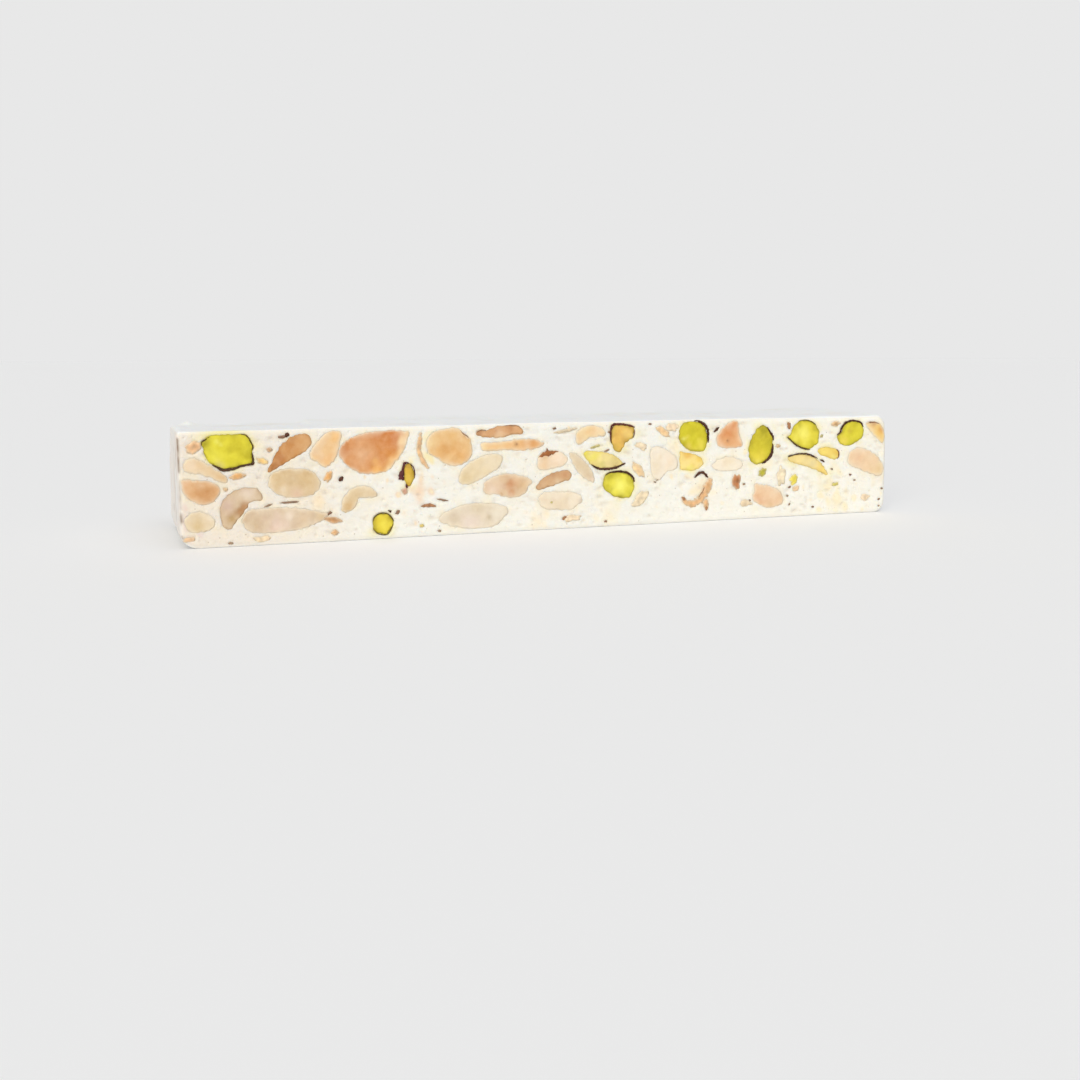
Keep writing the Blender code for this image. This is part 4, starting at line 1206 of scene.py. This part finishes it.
def rounded(points):
    """Points on the box's surface moved to the rounded bar, the way each one faces out of the
    bar's long sides, and its distance from the long sides and from the nearest cut face."""
    x, y, z = (points - low).T
    right, top = x > LENGTH / 2, z > HEIGHT / 2
    radius = np.select([right & top, right & ~top, ~right & top],
                       [CORNERS[1, 1], CORNERS[1, 0], CORNERS[0, 1]], CORNERS[0, 0])
    # both ends and both long edges are alike, so x and z are measured towards the nearest corner
    out_x, out_z = np.where(right, x, LENGTH - x), np.where(top, z, HEIGHT - z)
    a, b = disc((out_x - (LENGTH - radius)) / radius, (out_z - (HEIGHT - radius)) / radius)
    away = np.stack([np.clip(a, 0, None), np.clip(b, 0, None)], 1)
    bare = np.hypot(*away.T)
    corner = (a > 0) & (b > 0)
    depth = np.where(corner, 1 - bare, 1 - np.maximum(a, b)) * radius
    face = np.where(bare[:, None] > 1e-6, away / np.maximum(bare, 1e-6)[:, None], 0)
    face *= np.stack([np.where(right, 1, -1), np.where(top, 1, -1)], 1)
    new_x = np.where(corner, LENGTH - radius + a * radius, out_x)
    new_z = np.where(corner, HEIGHT - radius + b * radius, out_z)
    new_x, new_z = np.where(right, new_x, LENGTH - new_x), np.where(top, new_z, HEIGHT - new_z)
    # the same map again, between the long side and the cut face, rounds the knife's edge
    cut = np.minimum(y, DEPTH - y)
    knife = knife_radius(x, z)
    p, q = disc(1 - depth / knife, 1 - cut / knife)
    inward = knife * (1 - p) - depth
    back = knife * (1 - q) - cut
    new_x, new_z = new_x - face[:, 0] * inward, new_z - face[:, 1] * inward
    new_y = np.where(y < DEPTH / 2, y + back, y - back)
    return np.stack([new_x, new_y, new_z], 1) + low, np.insert(face, 1, 0, axis=1), depth, cut

# %% [markdown]
# ## Mesh of the nougat
#
# The cut faces are Delaunay meshes that hold every nut's outline, so the sockets have clean
# rims. A loop of points runs round each face, and bands of quads join the two loops: that is
# the skin. All three share the loop's points, so the body is one closed mesh.

# %% Mesh of the nougat
# millimetres between points round the loop, on the front face, on the back face and on the skin
LOOP_STEP, FACE_STEP, BACK_STEP, SKIN_STEP = 0.75, 0.42, 0.6, 1.35
EDGE_ROOM = 0.2  # how far the inner points keep from the loop


def graded(span, step):
    """Places from 0 to span, close together by both ends where the edges are round."""
    ends = np.array([0, 0.12, 0.26, 0.44, 0.7, 1.1])
    between = np.linspace(ends[-1] + step, span - ends[-1] - step, round(span / step))
    return np.concatenate([ends, between, span - ends[::-1]])


def perimeter():
    """The loop of (along, up) points round a face, anticlockwise from its lower left corner."""
    along, up = graded(LENGTH, LOOP_STEP) + low[0], graded(HEIGHT, LOOP_STEP) + low[2]
    base = np.stack([along[:-1], np.full(len(along) - 1, low[2])], 1)
    right = np.stack([np.full(len(up) - 1, high[0]), up[:-1]], 1)
    top = np.stack([along[:0:-1], np.full(len(along) - 1, high[2])], 1)
    left = np.stack([np.full(len(up) - 1, low[0]), up[:0:-1]], 1)
    return np.vstack([base, right, top, left])


def face_mesh(loop, shapes, step, seed):
    """Triangles for one cut face. The first points are the loop, in order."""
    draw = np.random.default_rng(seed)
    grid = staggered(low[[0, 2]] + 0.5 * step, high[[0, 2]], step, 0.15, draw)
    clear = np.abs(grid[:, 0]) < high[0] - EDGE_ROOM
    clear &= (grid[:, 1] > low[2] + EDGE_ROOM) & (grid[:, 1] < high[2] - EDGE_ROOM)
    edges = ring_of(0, len(loop))
    places, start = [loop], len(loop)
    for shape in shapes:
        near = near_to(shape, grid, step)
        clear[near[np.abs(depth_in(shape, grid[near])) < 0.35 * step]] = False
        edges += ring_of(start, len(shape))
        places.append(shape)
        start += len(shape)
    return triangulated(np.vstack(places + [grid[clear]]), edges, [], WHOLE)


loop = perimeter()
ys = graded(DEPTH, SKIN_STEP) + low[1]
faces_of = {}
for number, (side, step) in enumerate(((FRONT, FACE_STEP), (BACK, BACK_STEP)), 1):
    faces_of[side] = face_mesh(loop, [outlines[node] for node in nuts_on(side)], step, number)
    places, faces = faces_of[side]
    gap = float(np.abs(places[: len(loop)] - loop).max())
    print(len(places), "points and", len(faces), "triangles on a face, loop moved", round(gap, 6))

# %% [markdown]
# ## The cut face
#
# Sliced nougat isn't smooth. The knife drags it, so it has shallow pits where a bubble or a
# crumb tore out. The paste stands in a soft lip behind a thin trench along each pistachio, and
# it clings flush to the almonds. All this needs one number, how far a place is from the nearest
# nut, so that is worked out once for each face.

# %% Shape of a cut face
PITS = {FRONT: 460, BACK: 420}
NEAR = 4  # millimetres from a nut within which its distance is worked out
# the knife's marks: how high they stand and how far apart they are, in millimetres
DRAG, FINE, BROAD = (0.030, 1.6), (0.022, 1.3), (0.035, 4.2)
DRAG_STRETCH = [0.25, 1.0]  # the drag marks run along the bar, four times as long as they are wide
TRENCH, LIP, ALMOND_LIP = 0.12, 0.10, 0.05  # millimetres


def nearest_nut(places, nodes):
    """Distance inside the nearest outline, negative outside, and whether it is a pistachio."""
    depth = np.full(len(places), -99.0)
    green = np.zeros(len(places), bool)
    for node in nodes:
        near = near_to(outlines[node], places, NEAR)
        here = depth_in(outlines[node], places[near])
        closer = here > depth[near]
        depth[near[closer]] = here[closer]
        green[near[closer]] = "pistachio" in node
    return depth, green


def pits(places, side):
    """How deep the torn-out bubbles are at each place."""
    draw = np.random.default_rng(17 + side)
    deep = np.zeros(len(places))
    for _ in range(PITS[side]):
        middle = draw.uniform([low[0] + 2, 1.5], [high[0] - 2, HEIGHT - 1.5])
        reach, stretch, turn = draw.uniform(0.2, 0.6), draw.uniform(1, 2.6), draw.uniform(-0.5, 0.5)
        near = np.flatnonzero(np.abs(places - middle).max(1) < 3 * reach * stretch)
        off = turned(places[near] - middle, -turn)
        pit = np.exp(-((off[:, 0] / (reach * stretch)) ** 2) - (off[:, 1] / reach) ** 2)
        deep[near] = np.maximum(deep[near], pit * draw.uniform(0.12, 0.4))
    return deep


def knife_marks(places, outside, green, side):
    """How far the paste stands out in millimetres, before its pits."""
    lift = DRAG[0] * waves(places * DRAG_STRETCH, DRAG[1], 31 + side)
    lift = lift + FINE[0] * waves(places, FINE[1], 33 + side) + BROAD[0] * waves(places, BROAD[1], 35 + side)
    lip = 0.5 + 0.5 * waves(places, 7, 37 + side).clip(-1, 1)
    trench = np.where(green, TRENCH, 0.0) * (1.3 - lip)
    raised = np.where(green, LIP, ALMOND_LIP) * lip
    lift += raised * np.exp(-((outside - 0.7) / 0.45) ** 2) - trench * np.exp(-((outside / 0.28) ** 2))
    return lift * np.where(green, 1, smooth_step(outside, 0, 0.6))


def pressed(places, side):
    """Where the paste gives way to a chip, a shred or a speck: 1 under it, and 0 clear of it."""
    press = np.zeros(len(places))
    for shape in small_outlines[side]:
        near = near_to(shape, places, 0.5)
        press[near] = np.maximum(press[near], smooth_step(depth_in(shape, places[near]), -0.42, 0.0))
    return press


# %% [markdown]
# ## Colour of the paste
#
# Sugar and oil from the nuts tint the paste cream beside them, and a nut just under the surface
# shows as a soft stain. The paste itself is a little warmer at the left. Up the front edge of the
# left end, dark lines are painted where the slits are: the shade in the slits, with some brown
# skin. Along the top edge the green of the largest pistachio seeps through.

# %% Colour of a cut face
PASTE, PASTE_LEFT, PASTE_RIGHT = "#F0EFE9", "#EBE3D9", "#F4F2EA"
# The third of these colours is a painted shade for the rounded edges of the cut faces, and the fourth is the
# painted shade, with some brown skin, in the slits up the left end
SKIN_TONE, END_TONE, EDGE_SHADE_TONE, SLIT_SHADE_TONE = "#F2F3F2", "#EBE2D9", "#EFEAE0", "#7A5A40"
# painted shade in the torn pits, stronger where a pit is deeper
PIT_SHADE_TONE = "#D9CCBB"
SEEP = ("#ECE478", 0.62, -93, 5.5, 1.7)  # colour, strength, place along the bar, reach, width
# the slits up the left end, painted dark for their shade with some brown skin: from, to, strength, how far
# back from the edge, width
SHADED_SLITS = [(19.5, 28.5, 0.95, 0.25, 0.42), (6.6, 9.4, 0.95, 0.25, 0.5), (2.2, 3.6, 0.8, 0.25, 0.5),
           (10, 18, 0.4, 0.25, 0.42), (5, 25, 0.4, 17, 1.2), (12, 27, 0.45, 5, 0.9), (7, 9, 0.8, 25, 1.2)]
HALO = {"almond": ("#F7E6C0", 0.45, 1.3), "pistachio": ("#F3E6A0", 0.6, 1.6)}  # colour, share, reach
# places where a nut lies just under the paste: along, up, reach, colour
GHOSTS = [
    (-43, 12.5, 2.2, "#F0D3B8"), (-40.8, 22, 1.6, "#F6E6AE"), (-40.4, 26.5, 1.4, "#F6E8B8"),
    (-104, 6.5, 2.6, "#E8D3CB"), (41.5, 9.8, 3.0, "#F7E7C6"), (12, 2.8, 3.2, "#F6EBD2"),
    (63, 17, 2.4, "#F8EDCE"), (33, 22.5, 2.2, "#F8EACB"), (-9, 2.6, 2.6, "#F6E9CF"),
    (88, 4, 3.2, "#F5E8C6"), (84, 8.5, 3.0, "#F5E8C6"), (-70, 11, 2.4, "#F5E2C4"),
    (101, 12, 2.4, "#F7EAD0"), (84, 12, 2.6, "#F8EED2"),
]


def paste_tones(places, outside, green, side):
    """The colour of the paste at each place of a cut face."""
    tones = plain(PASTE, len(places))
    tint(tones, PASTE_LEFT, smooth_step(-places[:, 0], 40, 100))
    tint(tones, PASTE_RIGHT, smooth_step(places[:, 0], 0, 80))
    patchy = np.clip(0.55 + 0.6 * waves(places, 6, 41 + side), 0, 1.3)
    for kind, (colour, share, reach) in HALO.items():
        amount = share * patchy * np.exp(-outside / reach) * (green == (kind == "pistachio"))
        tint(tones, colour, np.clip(amount, 0, 1))
    ragged = 1 + 0.3 * waves(places, 4, 43)
    for along, up, reach, colour in GHOSTS:
        mirrored = along if side == FRONT else -along
        away = np.hypot(places[:, 0] - mirrored, places[:, 1] - up) * ragged / reach
        tint(tones, colour, 0.85 * np.exp(-(away**2)))
    return tones


def paint_slit_shade(points, tones):
    """Paints shade, with some brown of skin, on the paste of the left end along each slit. Most run
    up its front edge, and a few fainter ones lie further back."""
    up = points[:, 2]
    for start, end, strength, back, width in SHADED_SLITS:
        from_edge = np.hypot(points[:, 0] - low[0] - 0.25, points[:, 1] - low[1] - back)
        along = smooth_step(up, start - 0.4, start + 0.6) * (1 - smooth_step(up, end - 0.6, end + 0.4))
        share = strength * along * np.exp(-((from_edge / width) ** 2)) * (0.8 + 0.2 * waves(points, 2.3, 57))
        # the shade in the slits, with some brown skin, painted into the colour
        tint(tones, SLIT_SHADE_TONE, np.clip(share, 0, 1))


def seep(points, tones):
    """Tints the top edge over the largest pistachio, where its green shows through the paste."""
    colour, strength, along, reach, width = SEEP
    off_edge = np.hypot(points[:, 1] - low[1], points[:, 2] - high[2]) / width
    tint(tones, colour, strength * np.exp(-(((points[:, 0] - along) / reach) ** 2) - off_edge**2))


# %% [markdown]
# ## Shape and colour together
#
# A nut's place on the face is a socket: the paste drops steeply there, under the nut's own shell,
# so the two never show through each other. The relief fades out towards the rounded edges of
# the face. The pits are painted grey-beige as shade, and the rounded edges get a painted shade
# that holds back the lamps' highlight there.

# %% Cut faces
SOCKET_RIM, SOCKET, SOCKET_SLOPE = 0.1, 0.9, 0.35
BED = 0.25  # how low the paste lies under a small lump


def cut_face(places, side):
    """Outward lift in millimetres and colour at each place of a cut face."""
    depth, green = nearest_nut(places, nuts_on(side))
    outside = np.clip(-depth, 0, None)
    lift = knife_marks(places, outside, green, side)
    tones = paste_tones(places, outside, green, side)
    torn = pits(places, side)
    # painted shade in the pits, stronger where they are deeper
    tint(tones, PIT_SHADE_TONE, np.clip(1.3 * torn, 0, 0.6))
    lift -= torn * np.where(green, 1, smooth_step(outside, 0, 0.5))
    press = pressed(places, side)
    lift = lift * (1 - press) - BED * press
    lift = np.where(depth > 0.03, -SOCKET_RIM - SOCKET * smooth_step(depth, 0, SOCKET_SLOPE), lift)
    return lift, tones


def face_parts(side):
    """Rounded points, triangles and colours of one cut face, and how much each point is cut."""
    places, faces = faces_of[side]
    flat = np.stack([places[:, 0], np.full(len(places), CUT_PLANE[side]), places[:, 1]], 1)
    points, _, depth, _ = rounded(flat)
    lift, tones = cut_face(places, side)
    inset = smooth_step(depth, KNIFE_EDGE * 0.8, 1.2)
    points[:, 1] += side * lift * inset
    # painted shade along the rounded edge of the face, which holds back the highlight that the lamps put
    # there
    edge = 1 - smooth_step(depth, 0.3, 0.9)
    tint(tones, EDGE_SHADE_TONE, edge * 0.7)
    # painted shade in the slits up the left end
    paint_slit_shade(points, tones)
    seep(points, tones)
    return points, faces, tones, np.clip(inset, 0, 1)


# %% [markdown]
# ## The skin
#
# The skin was pressed against the frame: it is smoother and whiter than the cut face, with a
# faint swell, small dents, and soft stains where a nut lies just below it. It takes the painted
# shade of the slits up the left end and the green over the largest pistachio from the helpers
# above, so that both run on over the edge from the cut face.

# %% Points and colours of the skin
STAIN_TONE, STAINS = "#E9E2D2", 46
ON_END = 4  # every fourth stain is on an end of the bar, and the others are on its top
DENT_WIDTH = 0.9  # millimetres


def skin_marks():
    """Nuts that show faintly through the skin, and small dents: place, reach, depth and share."""
    draw = np.random.default_rng(61)
    for number in range(STAINS):
        along, across = draw.uniform(low[0] + 4, high[0] - 4), draw.uniform(low[1] + 3, high[1] - 3)
        place = np.array([along, across, high[2]])
        if number % ON_END == ON_END - 1:
            place[[0, 2]] = draw.choice([low[0], high[0]]), draw.uniform(4, 26)
        yield place, draw.uniform(1.5, 4.5), draw.choice([0, 0, 0.25]), draw.uniform(0.12, 0.5)


def skin_band(loop):
    """The points of the long sides: the loop repeated at each depth between the faces."""
    rings = [np.column_stack([loop[:, 0], np.full(len(loop), y), loop[:, 1]]) for y in ys[1:-1]]
    flat = np.concatenate(rings)
    points, facing, _, cut = rounded(flat)
    swell = 0.09 * waves(flat, 14, 51) + 0.04 * waves(flat, 4.5, 53)
    points += facing * (swell * smooth_step(cut, 0.3, 1.4))[:, None]
    tones = plain(SKIN_TONE, len(points))
    for place, reach, deep, share in skin_marks():
        away = np.linalg.norm(flat - place, axis=1)
        tint(tones, STAIN_TONE, share * np.exp(-((away / reach) ** 2)))
        points -= facing * (deep * np.exp(-((away / DENT_WIDTH) ** 2)))[:, None]
    left_end = smooth_step(-facing[:, 0], 0.5, 0.95) * (0.75 + 0.12 * waves(flat, 13, 55))
    tint(tones, END_TONE, np.clip(left_end, 0, 1))
    # painted shade in the slits up the left end
    paint_slit_shade(points, tones)
    seep(points, tones)
    return points, tones


# %% [markdown]
# ## The paste as a material
#
# Whipped nougat is sugar and egg white full of tiny bubbles, so it scatters nearly all the light
# that goes in and looks soft and bright. A little subsurface light gives that. Everything coarse
# is already in the mesh; the material adds the clouds, the pepper of crumbs and the fine grain.

# %% Material of the paste
CLOUD_SIZE, GRAIN_SIZE = 5, 0.9  # millimetres
CRUMB_GAP, PORE_GAP, GRAIN_HEIGHT = 2.6, 1.5, 0.15  # millimetres
CREAM_TONE, CRUMB_TONE = "#F3E0BE", "#A8927C"


def whipped_nougat():
    """Set nougat: chalky and bright, with light under its surface, and a dragged grain where it
    was cut. The skin is smoother and has the soft sheen of pressed sugar."""
    material = new_material("whipped_nougat")
    spot = add(material, "TexCoord")
    cut = add(material, "Attribute", attribute_name="cut")
    tone = add(material, "Attribute", attribute_name="tone")
    # broad clouds of nut oil that turn the cut paste cream
    cloud = add(material, "TexNoise", {
        "Vector": spot.outputs["Object"], "Scale": per_metre(CLOUD_SIZE), "Detail": 6, "Roughness": 0.65})
    warm = add(material, "MapRange", {
        "Value": cloud.outputs[0], "From Min": 0.40, "From Max": 0.72, "To Min": 0.0, "To Max": 0.16})
    cream = add(material, "Math", {0: warm.outputs[0], 1: cut.outputs["Fac"]}, operation="MULTIPLY")
    colour = add(material, "MixRGB", {
        "Fac": cream.outputs[0], "Color1": tone.outputs["Color"], "Color2": linear(CREAM_TONE)})
    # a fine pepper of crumbs, only where the knife went
    crumbs = add(material, "TexVoronoi", {"Vector": spot.outputs["Object"], "Scale": per_metre(CRUMB_GAP)})
    dot = add(material, "MapRange", {
        "Value": crumbs.outputs["Distance"],
        "From Min": 0.04, "From Max": 0.09, "To Min": 0.6, "To Max": 0.0})
    dotted = add(material, "Math", {0: dot.outputs[0], 1: cut.outputs["Fac"]}, operation="MULTIPLY")
    colour = add(material, "MixRGB", {
        "Fac": dotted.outputs[0], "Color1": colour.outputs[0], "Color2": linear(CRUMB_TONE)})
    # the grain and the pores stand out on the cut and half as much on the skin
    grain = add(material, "TexNoise", {
        "Vector": spot.outputs["Object"], "Scale": per_metre(GRAIN_SIZE), "Detail": 6, "Roughness": 0.65})
    pores = add(material, "TexVoronoi", {"Vector": spot.outputs["Object"], "Scale": per_metre(PORE_GAP)})
    hole = add(material, "MapRange", {
        "Value": pores.outputs["Distance"], "From Min": 0.0, "From Max": 0.28, "To Min": 0.0, "To Max": 1.0})
    torn = add(material, "Math", {0: grain.outputs[0], 1: hole.outputs[0]}, operation="ADD")
    depth = add(material, "MapRange", {"Value": cut.outputs["Fac"], "To Min": 0.5, "To Max": 1.0})
    height = add(material, "Math", {0: torn.outputs[0], 1: depth.outputs[0]}, operation="MULTIPLY")
    bump = add(material, "Bump", {
        "Strength": 1.0, "Distance": GRAIN_HEIGHT * MM, "Height": height.outputs[0]})
    gloss = add(material, "MapRange", {
        "Value": grain.outputs[0], "From Min": 0.3, "From Max": 0.7, "To Min": 0.48, "To Max": 0.66})
    shader = add(material, "BsdfPrincipled", {
        "Base Color": colour.outputs[0], "Roughness": gloss.outputs[0], "IOR": 1.48,
        "Subsurface Weight": 0.35, "Subsurface Radius": (1, 0.85, 0.65), "Subsurface Scale": 1.0 * MM,
        "Normal": bump.outputs[0]})
    add(material, "OutputMaterial", {"Surface": shader.outputs[0]})
    return material


paste = whipped_nougat()
print(paste.name, "has", len(paste.node_tree.nodes), "nodes")

# %% [markdown]
# ## The whole body
#
# The two cut faces and the skin share the points of the loop, so sewing them together is only a
# matter of numbering. Each band of the skin is a ring of quads between one loop and the next.

# %% Build the nougat
def band_quads(rows):
    """The four-sided faces between each row of point numbers and the next; each row is a loop."""
    quads = []
    for row, further in zip(rows, rows[1:]):
        for i in range(len(row)):
            j = (i + 1) % len(row)
            quads.append((row[i], row[j], further[j], further[i]))
    return quads


def build_nougat():
    """Sews the cut faces and the skin into one closed mesh."""
    front, front_faces, front_tones, front_cut = face_parts(FRONT)
    back, back_faces, back_tones, back_cut = face_parts(BACK)
    band, band_tones = skin_band(loop)
    points = np.vstack([front, back, band])
    tones = np.vstack([front_tones, back_tones, band_tones])
    cut = np.concatenate([front_cut, back_cut, np.zeros(len(band))])
    count, start = len(loop), len(front) + len(back)
    rows = [list(range(count))]
    rows += [list(range(start + k * count, start + (k + 1) * count)) for k in range(len(ys) - 2)]
    rows += [list(range(len(front), len(front) + count))]
    quads = band_quads(rows)
    faces = front_faces + [tuple(i + len(front) for i in f) for f in back_faces] + quads
    shell = Shell(points, faces, np.zeros(len(points)))
    piece = make_piece("nougat_body", shell, tones, paste, {"cut": cut})
    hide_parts("nougat")
    triangles = len(front_faces) + len(back_faces) + 2 * len(quads)
    print("nougat:", len(points), "points,", triangles, "triangles")


build_nougat()
